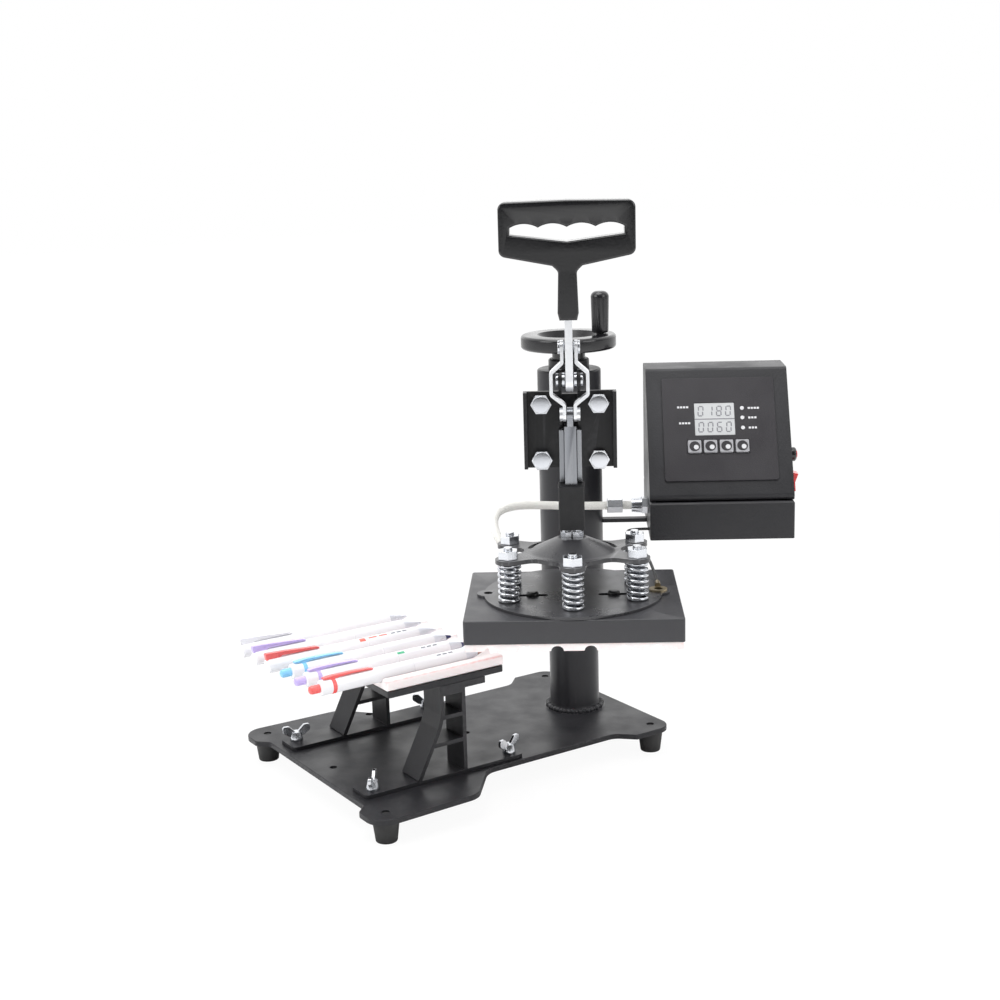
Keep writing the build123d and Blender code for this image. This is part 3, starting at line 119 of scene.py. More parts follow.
def effect(name, inputs, outputs):
    """An empty shader node group with named sockets: its tree, its input and its output."""
    tree = bpy.data.node_groups.new(name, "ShaderNodeTree")
    for socket, kind in inputs:
        tree.interface.new_socket(name=socket, in_out="INPUT", socket_type=kind)
    for socket, kind in outputs:
        tree.interface.new_socket(name=socket, in_out="OUTPUT", socket_type=kind)
    return tree, tree.nodes.new("NodeGroupInput"), tree.nodes.new("NodeGroupOutput")


# Grain: fine bumps, a slow change of tone and a patchy sheen
grain_group, grain_in, grain_out = effect(
    "surface_grain",
    (("Place", "NodeSocketVector"), ("Grain", "NodeSocketFloat"), ("Depth", "NodeSocketFloat"),
     ("Smooth", "NodeSocketFloat"), ("Rough", "NodeSocketFloat")),
    (("Tone", "NodeSocketFloat"), ("Roughness", "NodeSocketFloat"), ("Normal", "NodeSocketVector")))
fine_noise = new_node(grain_group, "ShaderNodeTexNoise", {"Detail": 3})
slow_noise = new_node(grain_group, "ShaderNodeTexNoise", {"Scale": 38, "Detail": 4})
sheen_range = new_node(grain_group, "ShaderNodeMapRange", {"From Min": 0.35, "From Max": 0.65})
grain_bump = new_node(grain_group, "ShaderNodeBump", {"Distance": 0.0004})
link_all(grain_group, (
    (grain_in.outputs["Place"], fine_noise.inputs["Vector"]),
    (grain_in.outputs["Place"], slow_noise.inputs["Vector"]),
    (grain_in.outputs["Grain"], fine_noise.inputs["Scale"]),
    (grain_in.outputs["Depth"], grain_bump.inputs["Strength"]),
    (grain_in.outputs["Smooth"], sheen_range.inputs["To Min"]),
    (grain_in.outputs["Rough"], sheen_range.inputs["To Max"]),
    (fine_noise.outputs["Fac"], grain_bump.inputs["Height"]),
    (slow_noise.outputs["Fac"], sheen_range.inputs["Value"]),
    (slow_noise.outputs["Fac"], grain_out.inputs["Tone"]),
    (sheen_range.outputs["Result"], grain_out.inputs["Roughness"]),
    (grain_bump.outputs["Normal"], grain_out.inputs["Normal"])))

# Edge wear: where the surface turns sharply outward, broken up by a noise
wear_group, wear_in, wear_out = effect(
    "edge_wear", (("Place", "NodeSocketVector"), ("Amount", "NodeSocketFloat")),
    (("Mask", "NodeSocketFloat"),))
edge_finder = new_node(wear_group, "ShaderNodeNewGeometry")
edge_range = new_node(wear_group, "ShaderNodeMapRange", {"From Min": 0.53, "From Max": 0.62})
wear_noise = new_node(wear_group, "ShaderNodeTexNoise", {"Scale": 260})
wear_share = new_node(wear_group, "ShaderNodeMath", operation="MULTIPLY")
wear_amount = new_node(wear_group, "ShaderNodeMath", operation="MULTIPLY")
link_all(wear_group, (
    (edge_finder.outputs["Pointiness"], edge_range.inputs["Value"]),
    (wear_in.outputs["Place"], wear_noise.inputs["Vector"]),
    (edge_range.outputs["Result"], wear_share.inputs[0]),
    (wear_noise.outputs["Fac"], wear_share.inputs[1]),
    (wear_share.outputs["Value"], wear_amount.inputs[0]),
    (wear_in.outputs["Amount"], wear_amount.inputs[1]),
    (wear_amount.outputs["Value"], wear_out.inputs["Mask"])))


def finish(name, colour, shade, rough, grain=900, depth=0.1, metal=0.0, worn=None, wear=0.5,
           stretch=None, gloss=0.5):
    """A finish: two close tones, grain, a patchy sheen, and lighter edges where it wears."""
    material = bpy.data.materials.new(name)
    material.use_nodes = True
    nodes, links = material.node_tree.nodes, material.node_tree.links
    shader = nodes["Principled BSDF"]
    shader.inputs["Metallic"].default_value = metal
    shader.inputs["Specular IOR Level"].default_value = gloss
    place = nodes.new("ShaderNodeTexCoord").outputs["Object"]
    if stretch:
        drawn = nodes.new("ShaderNodeMapping")
        drawn.inputs["Scale"].default_value = stretch
        links.new(place, drawn.inputs["Vector"])
        place = drawn.outputs["Vector"]
    texture = nodes.new("ShaderNodeGroup")
    texture.node_tree = grain_group
    texture.inputs["Grain"].default_value = grain
    texture.inputs["Depth"].default_value = depth
    texture.inputs["Smooth"].default_value = rough[0]
    texture.inputs["Rough"].default_value = rough[1]
    links.new(place, texture.inputs["Place"])
    tones = nodes.new("ShaderNodeMix")
    tones.data_type = "RGBA"
    tones.inputs["A"].default_value = (*colour, 1)
    tones.inputs["B"].default_value = (*shade, 1)
    links.new(texture.outputs["Tone"], tones.inputs["Factor"])
    colours = tones.outputs["Result"]
    if worn:
        edges = nodes.new("ShaderNodeGroup")
        edges.node_tree = wear_group
        edges.inputs["Amount"].default_value = wear
        links.new(place, edges.inputs["Place"])
        bare = nodes.new("ShaderNodeMix")
        bare.data_type = "RGBA"
        bare.inputs["B"].default_value = (*worn, 1)
        links.new(edges.outputs["Mask"], bare.inputs["Factor"])
        links.new(colours, bare.inputs["A"])
        colours = bare.outputs["Result"]
    links.new(colours, shader.inputs["Base Color"])
    links.new(texture.outputs["Roughness"], shader.inputs["Roughness"])
    links.new(texture.outputs["Normal"], shader.inputs["Normal"])
    return material


woven_sleeve = bpy.data.materials.new("woven_sleeve")
woven_sleeve.use_nodes = True
weave = woven_sleeve.node_tree
weave_shader = weave.nodes["Principled BSDF"]
weave_shader.inputs["Roughness"].default_value = 0.8
weave_place = new_node(weave, "ShaderNodeTexCoord")
weave_mapping = new_node(weave, "ShaderNodeMapping", {"Rotation": (0, 0, radians(45))})
weave_threads = new_node(weave, "ShaderNodeTexBrick", {
    "Scale": 9, "Color1": (0.93, 0.92, 0.89, 1), "Color2": (0.88, 0.87, 0.83, 1),
    "Mortar": (0.72, 0.71, 0.67, 1), "Mortar Size": 0.03})
weave_bump = new_node(weave, "ShaderNodeBump", {"Strength": 0.5, "Distance": 0.0003})
weave_bump.invert = True
link_all(weave, (
    (weave_place.outputs["UV"], weave_mapping.inputs["Vector"]),
    (weave_mapping.outputs["Vector"], weave_threads.inputs["Vector"]),
    (weave_threads.outputs["Color"], weave_shader.inputs["Base Color"]),
    (weave_threads.outputs["Fac"], weave_bump.inputs["Height"]),
    (weave_bump.outputs["Normal"], weave_shader.inputs["Normal"])))
black_wire = finish("black_wire", (0.02, 0.02, 0.02), (0.03, 0.03, 0.032), (0.3, 0.42),
                    grain=1500, depth=0.04)


def cord_line(name, points):
    """The smooth line of a cord: a NURBS spline on its route's points, read as mesh points."""
    line = bpy.data.curves.new(name, "CURVE")
    line.dimensions = "3D"
    spline = line.splines.new("NURBS")
    spline.points.add(len(points) - 1)
    for spot, point in zip(spline.points, points):
        spot.co = (*point, 1)
    spline.order_u = 3
    spline.use_endpoint_u = True
    spline.resolution_u = 10
    holder = placed(name, line)
    bpy.context.view_layer.update()
    read = bpy.data.meshes.new_from_object(holder)
    places = [v.co.copy() for v in read.vertices]
    bpy.data.objects.remove(holder)
    return places


def ring_of_points(form, middle, side_way, up_way, radius, sides):
    """A ring of vertices round a point, in the plane of two crossed directions."""
    turns = [2 * pi * k / sides for k in range(sides)]
    return [form.verts.new(middle + (side_way * cos(turn) + up_way * sin(turn)) * radius)
            for turn in turns]


def tube_along(name, line, radius, sides, finish_of_tube):
    """A closed tube along a line, with its length along V in turns of its own girth."""
    form = bmesh.new()
    around = form.loops.layers.uv.new("along")
    side_way = (line[1] - line[0]).orthogonal().normalized()
    rings, lengths = [], []
    travelled = 0.0
    for i, point in enumerate(line):
        ahead_way = (line[min(i + 1, len(line) - 1)] - line[max(i - 1, 0)]).normalized()
        side_way = (side_way - ahead_way * side_way.dot(ahead_way)).normalized()
        up_way = ahead_way.cross(side_way)
        travelled += (point - line[i - 1]).length if i else 0.0
        lengths.append(travelled / (2 * pi * radius))
        rings.append(ring_of_points(form, point, side_way, up_way, radius, sides))
    for i in range(len(rings) - 1):
        for k in range(sides):
            nxt = (k + 1) % sides
            low, high = rings[i], rings[i + 1]
            face = form.faces.new((low[k], low[nxt], high[nxt], high[k]))
            corners = ((k, i), (k + 1, i), (k + 1, i + 1), (k, i + 1))
            for loop, (turn, step) in zip(face.loops, corners):
                loop[around].uv = (turn / sides, lengths[step])
    form.faces.new(reversed(rings[0]))
    form.faces.new(rings[-1])
    bmesh.ops.recalc_face_normals(form, faces=form.faces)
    shape = bpy.data.meshes.new(name)
    form.to_mesh(shape)
    form.free()
    shape.materials.append(finish_of_tube)
    shape.shade_smooth()
    shape.set_sharp_from_angle(angle=radians(40))
    return placed(name, shape)


heater_route = [on_head(*point) for point in (
    (30, 47, 174.9), (30, 24, 174.9), (34, 0, 176), (42, -24, 179), (57, -46, 182.5),
    (78, -58.5, 181.5), (97, -58, 173), (110, -50, 163), (110, -48, 150))]
heater_line = cord_line("heater_line", heater_route)
heater_sleeve = tube_along("heater_sleeve", heater_line, radius=0.0032, sides=20,
                           finish_of_tube=woven_sleeve)
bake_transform(heater_sleeve)
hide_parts("heater_lead")

wire_route = [on_head(*point) for point in (
    (48, 60, 160), (48, 51, 160), (57, 43, 161.5), (74, 42, 163.5), (98, 47, 163),
    (121, 55, 158), (138, 60, 146.5), (152, 60, 146.5))]
wire_line = cord_line("wire_line", wire_route)
sensor_wire = tube_along("sensor_wire", wire_line, radius=0.0011, sides=12,
                         finish_of_tube=black_wire)
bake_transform(sensor_wire)
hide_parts("sensor_lead")

# Base plate. A 4 mm steel plate is cut with a waist between its four feet, drilled, and
# powder coated black. Its edges are broken, and the coat is thin on them.
black_coat = finish("black_coat", (0.012, 0.012, 0.014), (0.020, 0.020, 0.023), (0.34, 0.50),
                    grain=1100, depth=0.16, worn=(0.07, 0.07, 0.075), gloss=0.3)


smooth_angle = 34  # degrees; a surface that turns by more has an edge
merge_distance = 2e-6
flat_angle = 0.6  # degrees; triangles that turn by less are one face


def soften(piece, width):
    """Rounds the edges of a piece by a width in millimetres."""
    soft = piece.modifiers.new("soft_edges", "BEVEL")
    soft.width = width / 1000
    soft.segments = 2
    soft.limit_method = "ANGLE"
    soft.angle_limit = radians(smooth_angle)
    soft.use_clamp_overlap = True
    soft.harden_normals = True
    applied(piece)


def dressed(node, body, material, edge=0.5):
    """A copy of a solid with its triangles merged, its edges softened and its finish on it."""
    form = bmesh.new()
    form.from_mesh(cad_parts[node].data)
    bmesh.ops.remove_doubles(form, verts=form.verts, dist=merge_distance)
    bmesh.ops.dissolve_limit(form, angle_limit=radians(flat_angle), verts=form.verts,
                             edges=form.edges)
    shape = bpy.data.meshes.new(node + "_dressed")
    form.to_mesh(shape)
    form.free()
    shape.materials.clear()
    shape.materials.append(material)
    shape.shade_smooth()
    shape.set_sharp_from_angle(angle=radians(smooth_angle))
    piece = placed(node + "_dressed", shape)
    soften(piece, edge)
    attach(piece, body)
    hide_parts(node)
    return piece


dressed("base_plate", "base", black_coat, edge=0.5)

# Rubber feet. Four tapered bumpers are moulded in black rubber, with a screw recess below,
# and pushed up through the corner holes of the plate.
foot_rubber = finish("foot_rubber", (0.014, 0.014, 0.014), (0.022, 0.022, 0.022), (0.55, 0.75),
                     grain=700, depth=0.25)
dressed("rubber_feet", "base", foot_rubber, edge=0.8)

# Column. A steel tube is welded upright on the plate and coated with it. The bead round its
# foot is left uneven by the torch.
column_coat = finish("column_coat", (0.016, 0.016, 0.018), (0.026, 0.026, 0.030), (0.30, 0.42),
                     grain=1200, depth=0.12, worn=(0.07, 0.07, 0.075), gloss=0.3)
dressed("column", "base", column_coat, edge=0.3)


def shape_tree(name, inputs):
    """An empty Geometry Nodes tree with named inputs: tree, inputs, first and last node."""
    tree = bpy.data.node_groups.new(name, "GeometryNodeTree")
    tree.interface.new_socket(name="Geometry", in_out="INPUT", socket_type="NodeSocketGeometry")
    sockets = [tree.interface.new_socket(name=label, in_out="INPUT", socket_type=kind)
               for label, kind in inputs]
    tree.interface.new_socket(name="Geometry", in_out="OUTPUT", socket_type="NodeSocketGeometry")
    return tree, sockets, tree.nodes.new("NodeGroupInput"), tree.nodes.new("NodeGroupOutput")


def grow(holder, tree, sockets, values):
    """Runs a Geometry Nodes tree on an object with its inputs set, and keeps what it makes."""
    maker = holder.modifiers.new("maker", "NODES")
    maker.node_group = tree
    for socket, value in zip(sockets, values):
        maker[socket.identifier] = value
    applied(holder).shade_smooth()


bead_count, bead_ring, bead_size, bead_height = 44, 0.0216, 0.0026, 0.0014
bead_tree, bead_sockets, bead_in, bead_out = shape_tree("weld_bead", (
    ("Beads", "NodeSocketInt"), ("Ring", "NodeSocketFloat"), ("Bead", "NodeSocketFloat")))
bead_circle = new_node(bead_tree, "GeometryNodeMeshCircle")
bead_ball = new_node(bead_tree, "GeometryNodeMeshIcoSphere", {"Subdivisions": 2})
bead_copies = new_node(bead_tree, "GeometryNodeInstanceOnPoints")
uneven = new_node(bead_tree, "FunctionNodeRandomValue", {"Seed": 4, 2: 0.75, 3: 1.1})
bead_solids = new_node(bead_tree, "GeometryNodeRealizeInstances")
bead_coat = new_node(bead_tree, "GeometryNodeSetMaterial", {"Material": column_coat})
bead_shift = new_node(bead_tree, "GeometryNodeTransform",
                      {"Translation": (0, column_y, bead_height)})
link_all(bead_tree, (
    (bead_in.outputs["Beads"], bead_circle.inputs["Vertices"]),
    (bead_in.outputs["Ring"], bead_circle.inputs["Radius"]),
    (bead_in.outputs["Bead"], bead_ball.inputs["Radius"]),
    (bead_circle.outputs["Mesh"], bead_copies.inputs["Points"]),
    (bead_ball.outputs["Mesh"], bead_copies.inputs["Instance"]),
    (uneven.outputs[1], bead_copies.inputs["Scale"]),
    (bead_copies.outputs["Instances"], bead_solids.inputs["Geometry"]),
    (bead_solids.outputs["Geometry"], bead_shift.inputs["Geometry"]),
    (bead_shift.outputs["Geometry"], bead_coat.inputs["Geometry"]),
    (bead_coat.outputs["Geometry"], bead_out.inputs["Geometry"])))
weld_bead = placed("weld_bead", bpy.data.meshes.new("weld_bead"))
grow(weld_bead, bead_tree, bead_sockets, (bead_count, bead_ring, bead_size))
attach(weld_bead, "base")

# Bed supports. Each is a folded steel strip: a sloping front leg, an upright back leg, two
# webs and a bracket, standing on a foot strip that the wing screws hold.
dressed("bed_support_front", "base", black_coat, edge=0.4)
dressed("bed_support_rear", "base", black_coat, edge=0.4)

# Bed plate. A flat black plate carries the silicone pad.
dressed("bed_plate", "base", black_coat, edge=0.6)

# Bed pad. It is cast in soft pale pink silicone with six round grooves, one for each pen,
# and is slightly see-through at its edges.
silicone = finish("silicone", (0.90, 0.86, 0.86), (0.93, 0.90, 0.90), (0.38, 0.52), grain=500,
                  depth=0.06, worn=(0.86, 0.42, 0.40), wear=0.9)
for depth_input, value in (("Weight", 0.25), ("Radius", (0.004, 0.002, 0.002)), ("Scale", 1.0)):
    socket = silicone.node_tree.nodes["Principled BSDF"].inputs["Subsurface " + depth_input]
    socket.default_value = value
dressed("bed_pad", "base", silicone, edge=0.5)

# Wing screws. Four zinc plated screws with stamped wings clamp the foot strips to the
# plate, so that the bed comes off without a tool.
zinc = finish("zinc", (0.62, 0.63, 0.65), (0.48, 0.50, 0.54), (0.14, 0.26), grain=700, depth=0.05,
              metal=1.0, worn=(0.86, 0.86, 0.85))
for end in ("front_outer", "front_inner", "rear_outer", "rear_inner"):
    dressed("wing_screw_" + end, "wing_" + end, zinc, edge=0.5)

# Pens. Six slim white ballpoints lie in the grooves. Each has a turned barrel, a cone with a
# dark tip and a moulded clip; three have a push button in the clip's colour.
pen_white = finish("pen_white", (0.86, 0.86, 0.88), (0.80, 0.80, 0.83), (0.16, 0.24), grain=400,
                   depth=0.02)
pen_silver = finish("pen_silver", (0.74, 0.75, 0.80), (0.66, 0.67, 0.73), (0.22, 0.32), grain=400,
                    depth=0.02, metal=0.2)
clip_white = finish("clip_white", (0.88, 0.88, 0.90), (0.84, 0.84, 0.87), (0.2, 0.3), grain=400,
                    depth=0.02)
clip_lavender = finish("clip_lavender", (0.50, 0.40, 0.80), (0.55, 0.46, 0.84), (0.2, 0.3),
                       grain=400, depth=0.02)
clip_red = finish("clip_red", (0.80, 0.10, 0.10), (0.84, 0.14, 0.13), (0.2, 0.3), grain=400,
                  depth=0.02)
clip_blue = finish("clip_blue", (0.20, 0.52, 0.80), (0.24, 0.56, 0.84), (0.2, 0.3), grain=400,
                   depth=0.02)
tip_navy = finish("tip_navy", (0.02, 0.02, 0.09), (0.03, 0.03, 0.12), (0.3, 0.4), grain=400,
                  depth=0.02)
tip_rust = finish("tip_rust", (0.30, 0.09, 0.03), (0.36, 0.12, 0.05), (0.3, 0.4), grain=400,
                  depth=0.02)
print_red = finish("print_red", (0.75, 0.12, 0.10), (0.80, 0.18, 0.12), (0.3, 0.4), grain=400,
                   depth=0.02)
print_green = finish("print_green", (0.04, 0.40, 0.20), (0.06, 0.45, 0.24), (0.3, 0.4), grain=400,
                     depth=0.02)
print_grey = finish("print_grey", (0.16, 0.17, 0.20), (0.22, 0.23, 0.26), (0.3, 0.4), grain=400,
                    depth=0.02)
groove_step = 22.5  # millimetres, as the next three
pen_height = 86
pen_radius = 5.5
pen_butt = 103


def turned(form, profile, centre, axis, slot, sides=40):
    """Turns a profile of (along, radius) millimetres round an axis through a point."""
    side_way = axis.orthogonal().normalized()
    up_way = axis.cross(side_way)
    rings = [ring_of_points(form, centre + axis * (along / 1000), side_way, up_way,
                            radius / 1000, sides) for along, radius in profile]
    faces = []
    for low, high in zip(rings, rings[1:]):
        for k in range(sides):
            nxt = (k + 1) % sides
            faces.append(form.faces.new((low[k], low[nxt], high[nxt], high[k])))
    faces += [form.faces.new(reversed(rings[0])), form.faces.new(rings[-1])]
    for face in faces:
        face.material_index = slot
    return faces


print_lift = 0.06  # millimetres


def patch(form, centre, axis, span, angles, radius, slot):
    """A thin printed patch that hugs a barrel: span along the axis, angles round it."""
    steps = 6
    rows = []
    for lift in (0.0, print_lift):
        for along in span:
            row = []
            for k in range(steps + 1):
                turn = radians(angles[0] + (angles[1] - angles[0]) * k / steps)
                way = Vector((sin(turn), 0, cos(turn)))
                spot = centre + axis * (along / 1000) + way * ((radius + lift) / 1000)
                row.append(form.verts.new(spot))
            rows.append(row)
    inner_a, inner_b, outer_a, outer_b = rows
    for k in range(steps):
        for quad in ((outer_a[k], outer_a[k + 1], outer_b[k + 1], outer_b[k]),
                     (inner_a[k], inner_b[k], inner_b[k + 1], inner_a[k + 1]),
                     (inner_a[k], inner_a[k + 1], outer_a[k + 1], outer_a[k]),
                     (inner_b[k], outer_b[k], outer_b[k + 1], inner_b[k + 1])):
            form.faces.new(quad).material_index = slot
    for k in (0, steps):
        form.faces.new((inner_a[k], outer_a[k], outer_b[k], inner_b[k])).material_index = slot


def as_piece(name, form, materials, body, node, edge=0.0):
    """Makes a finished piece of a bmesh: normals out, smooth, on its body, for its node."""
    bmesh.ops.recalc_face_normals(form, faces=form.faces)
    shape = bpy.data.meshes.new(name)
    form.to_mesh(shape)
    form.free()
    for material in materials:
        shape.materials.append(material)
    shape.shade_smooth()
    shape.set_sharp_from_angle(angle=radians(smooth_angle))
    piece = placed(name, shape)
    if edge:
        soften(piece, edge)
    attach(piece, body)
    if node:
        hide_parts(node)
    return piece


def blade(form, outline, x, width, slot):
    """A flat blade: an outline of (along the pen, up) millimetres, as thick as its width."""
    sides = []
    for edge_x in (x - width / 2, x + width / 2):
        sides.append([form.verts.new(Vector((edge_x, -along, up)) / 1000) for along, up in outline])
    form.faces.new(sides[0]).material_index = slot
    form.faces.new(list(reversed(sides[1]))).material_index = slot
    count = len(outline)
    for k in range(count):
        quad = (sides[0][k], sides[1][k], sides[1][(k + 1) % count], sides[0][(k + 1) % count])
        form.faces.new(quad).material_index = slot


pen_clips = (clip_white, clip_lavender, clip_red, clip_blue, clip_lavender, clip_red)
pen_tips = (pen_silver, pen_silver, pen_silver, tip_navy, tip_navy, tip_rust)
BARREL, TIP, CLIP, CONE, RED, GREEN, GREY = range(7)  # places in a pen's list of materials
pen_axis = Vector((0, -1, 0))
clip_width = 3.4
button_length = 8
for number, (clip_colour, tip_colour) in enumerate(zip(pen_clips, pen_tips), 1):
    with_button = number > 3
    x = (number - 3.5) * groove_step
    middle = Vector((x, 0, pen_height)) / 1000
    end = pen_butt - button_length if with_button else pen_butt
    top = pen_height + 7.6
    pen = bmesh.new()
    turned(pen, ((-41, 0.5), (-40.8, 0.9), (-38, 1.6), (-35.6, 2.5)), middle, pen_axis, TIP)
    turned(pen, ((-35.8, 2.4), (-33, 3.3), (-28, 4.5), (-25.4, 5.05), (-24, 5.2)),
           middle, pen_axis, CONE)
    turned(pen, ((-24.2, 4.9), (-24, 5.3), (-22, pen_radius), (20, pen_radius), (20.2, 5.3),
                 (20.8, 5.3), (21, pen_radius), (end - 1.6, pen_radius), (end - 0.4, 5.1),
                 (end, 4.3)), middle, pen_axis, BARREL)
    if with_button:
        foot, tail, band = end - 12, end - 3, pen_radius + 0.22
        turned(pen, ((end - 0.3, 3.1), (pen_butt - 2.2, 3.1), (pen_butt - 0.8, 2.7),
                     (pen_butt, 1.4)), middle, pen_axis, CLIP)
        turned(pen, ((foot, 5.3), (foot + 0.3, band), (foot + 3.1, band), (foot + 3.4, 5.3)),
               middle, pen_axis, CLIP)
        outline = ((foot, pen_height + 5), (foot + 3.4, pen_height + 5), (foot + 3.8, top - 2.2),
                   (tail, top - 1.6), (tail, top - 0.5), (foot, top + 0.2), (end - 26, top),
                   (end - 40, top - 0.6), (end - 43, top - 1.5), (end - 41.5, top - 2.2),
                   (end - 38, top - 1.7), (end - 26, top - 1.3), (foot - 3, top - 1.9),
                   (foot - 0.6, top - 3.2))
    else:
        outline = ((end - 9, pen_height + 4.6), (end + 0.6, pen_height + 4.6),
                   (end + 1.2, top + 1.4), (end + 0.4, top + 2.2), (end - 14, top + 1.6),
                   (end - 40, top - 0.2), (end - 43, top - 1.3), (end - 41.5, top - 2.1),
                   (end - 38, top - 1.7), (end - 12, top - 1.2))
    blade(pen, outline, x, clip_width, CLIP)
    if number == 3:
        for start, length, angles in ((22, 5, (2, 40)), (12, 7, (8, 24)), (3, 7, (8, 24))):
            patch(pen, middle, pen_axis, (start, start + length), angles, pen_radius, RED)
    if number == 5:
        patch(pen, middle, pen_axis, (14, 20), (8, 34), pen_radius, GREEN)
    if number in (3, 5, 6):
        for start in (-4, -9, -14):
            patch(pen, middle, pen_axis, (start, start + 3.6), (10, 26), pen_radius, GREY)
    as_piece(f"pen_{number}_dressed", pen,
             (pen_white, tip_colour, clip_colour, pen_silver, print_red, print_green, print_grey),
             f"pen{number}", f"pen_{number}", edge=0.35)

# Head sleeve. A thick tube with a cap slides and turns on the column, and carries the head.
dressed("head_sleeve", "head", column_coat, edge=0.5)

# Height screw and collar. The wheel lifts the head through a collar that bears on the cap.
screw_steel = finish("screw_steel", (0.42, 0.43, 0.45), (0.34, 0.35, 0.37), (0.24, 0.36),
                     grain=900, depth=0.08, metal=1.0)
dressed("thrust_collar", "lift", column_coat, edge=0.4)
dressed("height_screw", "wheel", screw_steel, edge=0.3)

# Hand wheel. A cast black wheel with a dished face turns the screw by its crank.
wheel_black = finish("wheel_black", (0.006, 0.006, 0.007), (0.010, 0.010, 0.012), (0.16, 0.26),
                     grain=800, depth=0.05, worn=(0.03, 0.03, 0.032), gloss=0.6)
dressed("hand_wheel", "wheel", wheel_black, edge=0.6)

# Crank knob. A moulded black sleeve spins on the wheel's pin.
dressed("crank_knob", "crank", wheel_black, edge=0.6)

# Head arm. A square tube is coped and welded to the sleeve and ends in a drilled plate.
dressed("head_arm", "head", black_coat, edge=0.6)

# Clamp sides. Two laser cut and folded plates bolt to the arm's end and carry the handle's
# pin in their ears. Their satin coat is blacker than the column's.
plate_black = finish("plate_black", (0.007, 0.007, 0.008), (0.012, 0.012, 0.013), (0.28, 0.42),
                     grain=1000, depth=0.10, worn=(0.07, 0.07, 0.075), wear=0.6, gloss=0.3)
dressed("clamp_side_left", "head", plate_black, edge=0.35)
dressed("clamp_side_right", "head", plate_black, edge=0.35)

# Clamp bolts. Four zinc plated hex bolts with nuts hold the sides. The heads are forged, so
# a round crown is turned on each hexagon.
dressed("clamp_bolts", "head", zinc, edge=0.5)
crowns = bmesh.new()
crown_profile = ((5.25, 5.9), (5.5, 5.7), (5.62, 5.2), (5.62, 0.4))
bolt_seat = 151
for side in (-20, 20):
    for height in (237.3, 276.9):
        turned(crowns, crown_profile, on_head(bolt_seat, side, height), outward, slot=0)
as_piece("bolt_crowns", crowns, (zinc,), "head", None)

# Plunger guide. A bright milled channel holds the plunger's shoe behind its lips.
milled_steel = finish("milled_steel", (0.27, 0.28, 0.30), (0.18, 0.19, 0.21), (0.22, 0.36),
                      grain=600, depth=0.12, metal=1.0, worn=(0.70, 0.70, 0.70),
                      stretch=(1, 1, 0.05))
dressed("plunger_guide", "head", milled_steel, edge=0.3)

# Handle pin. A steel pin with riveted heads passes both ears and the handle's bar.
dressed("handle_pin", "head", zinc, edge=0.4)

# Handle bar. A flat zinc plated bar turns on the pin and is pressed into the grip. Its zinc is
# painted paler than the plated screws', a painted reflection of bright surroundings, and its sheen
# is softer.
zinc_painted_reflection = finish("zinc_painted_reflection", (0.86, 0.87, 0.89), (0.74, 0.76, 0.79), (0.30, 0.44),
                     grain=700, depth=0.06, metal=0.8, worn=(0.92, 0.92, 0.92))
dressed("handle_bar", "handle", zinc_painted_reflection, edge=0.5)

# Handle grip. It is moulded in glossy black plastic as a closed loop, with four finger
# hollows under its top bar and a stem over the steel bar.
grip_black = finish("grip_black", (0.006, 0.006, 0.007), (0.009, 0.009, 0.010), (0.14, 0.22),
                    grain=500, depth=0.10, gloss=0.55)
grip = dressed("handle_grip", "handle", grip_black, edge=0.5)
scoops = bmesh.new()
scoop_radius, scoop_stretch = 0.0098, 1.15
scoop_out, scoop_height = 182.2, 401.5
for side in (-28.9, -9.6, 9.6, 28.9):
    scoop = bmesh.ops.create_uvsphere(scoops, u_segments=40, v_segments=24,
                                      radius=scoop_radius)["verts"]
    bmesh.ops.scale(scoops, vec=(1, 1, scoop_stretch), verts=scoop)
    bmesh.ops.translate(scoops, vec=on_head(scoop_out, side, scoop_height), verts=scoop)
scoop_shape = bpy.data.meshes.new("finger_scoops")
scoops.to_mesh(scoop_shape)
scoops.free()
scoop_shape.shade_smooth()
scoop_tool = placed("finger_scoops", scoop_shape)
carve = grip.modifiers.new("finger_scoops", "BOOLEAN")
carve.operation = "DIFFERENCE"
carve.solver = "EXACT"
carve.object = scoop_tool
carved = applied(grip)
bpy.data.objects.remove(scoop_tool)
carved.shade_smooth()
carved.set_sharp_from_angle(angle=radians(30))

# Straps. Two zinc plated flat straps bow out round the ears, and join the handle's bar to
# the plunger's tongue with round riveted bosses.
# The straps' zinc is painted paler too, the same painted reflection as the bar's.
dressed("strap_left", "link", zinc_painted_reflection, edge=0.35)
dressed("strap_right", "link", zinc_painted_reflection, edge=0.35)
dressed("strap_pin", "link", zinc, edge=0.4)

# Plunger. A machined steel bar slides in the guide; its tongue stands between the straps.
dressed("plunger", "press", milled_steel, edge=0.35)

# Coupling block. A black square block joins the plunger to the spider with two bright bolts.
dressed("coupling_block", "press", plate_black, edge=0.5)
dressed("coupling_bolts", "press", zinc, edge=0.4)

# Spider. A steel plate is pressed into a low dome with six lugs and two curved slots, and
# coated with dark grey heat-proof paint.
hot_paint = finish("hot_paint", (0.024, 0.024, 0.027), (0.040, 0.040, 0.044), (0.24, 0.36),
                   grain=1000, depth=0.14, worn=(0.20, 0.20, 0.21), wear=0.8)
dressed("spider_plate", "press", hot_paint, edge=0.6)

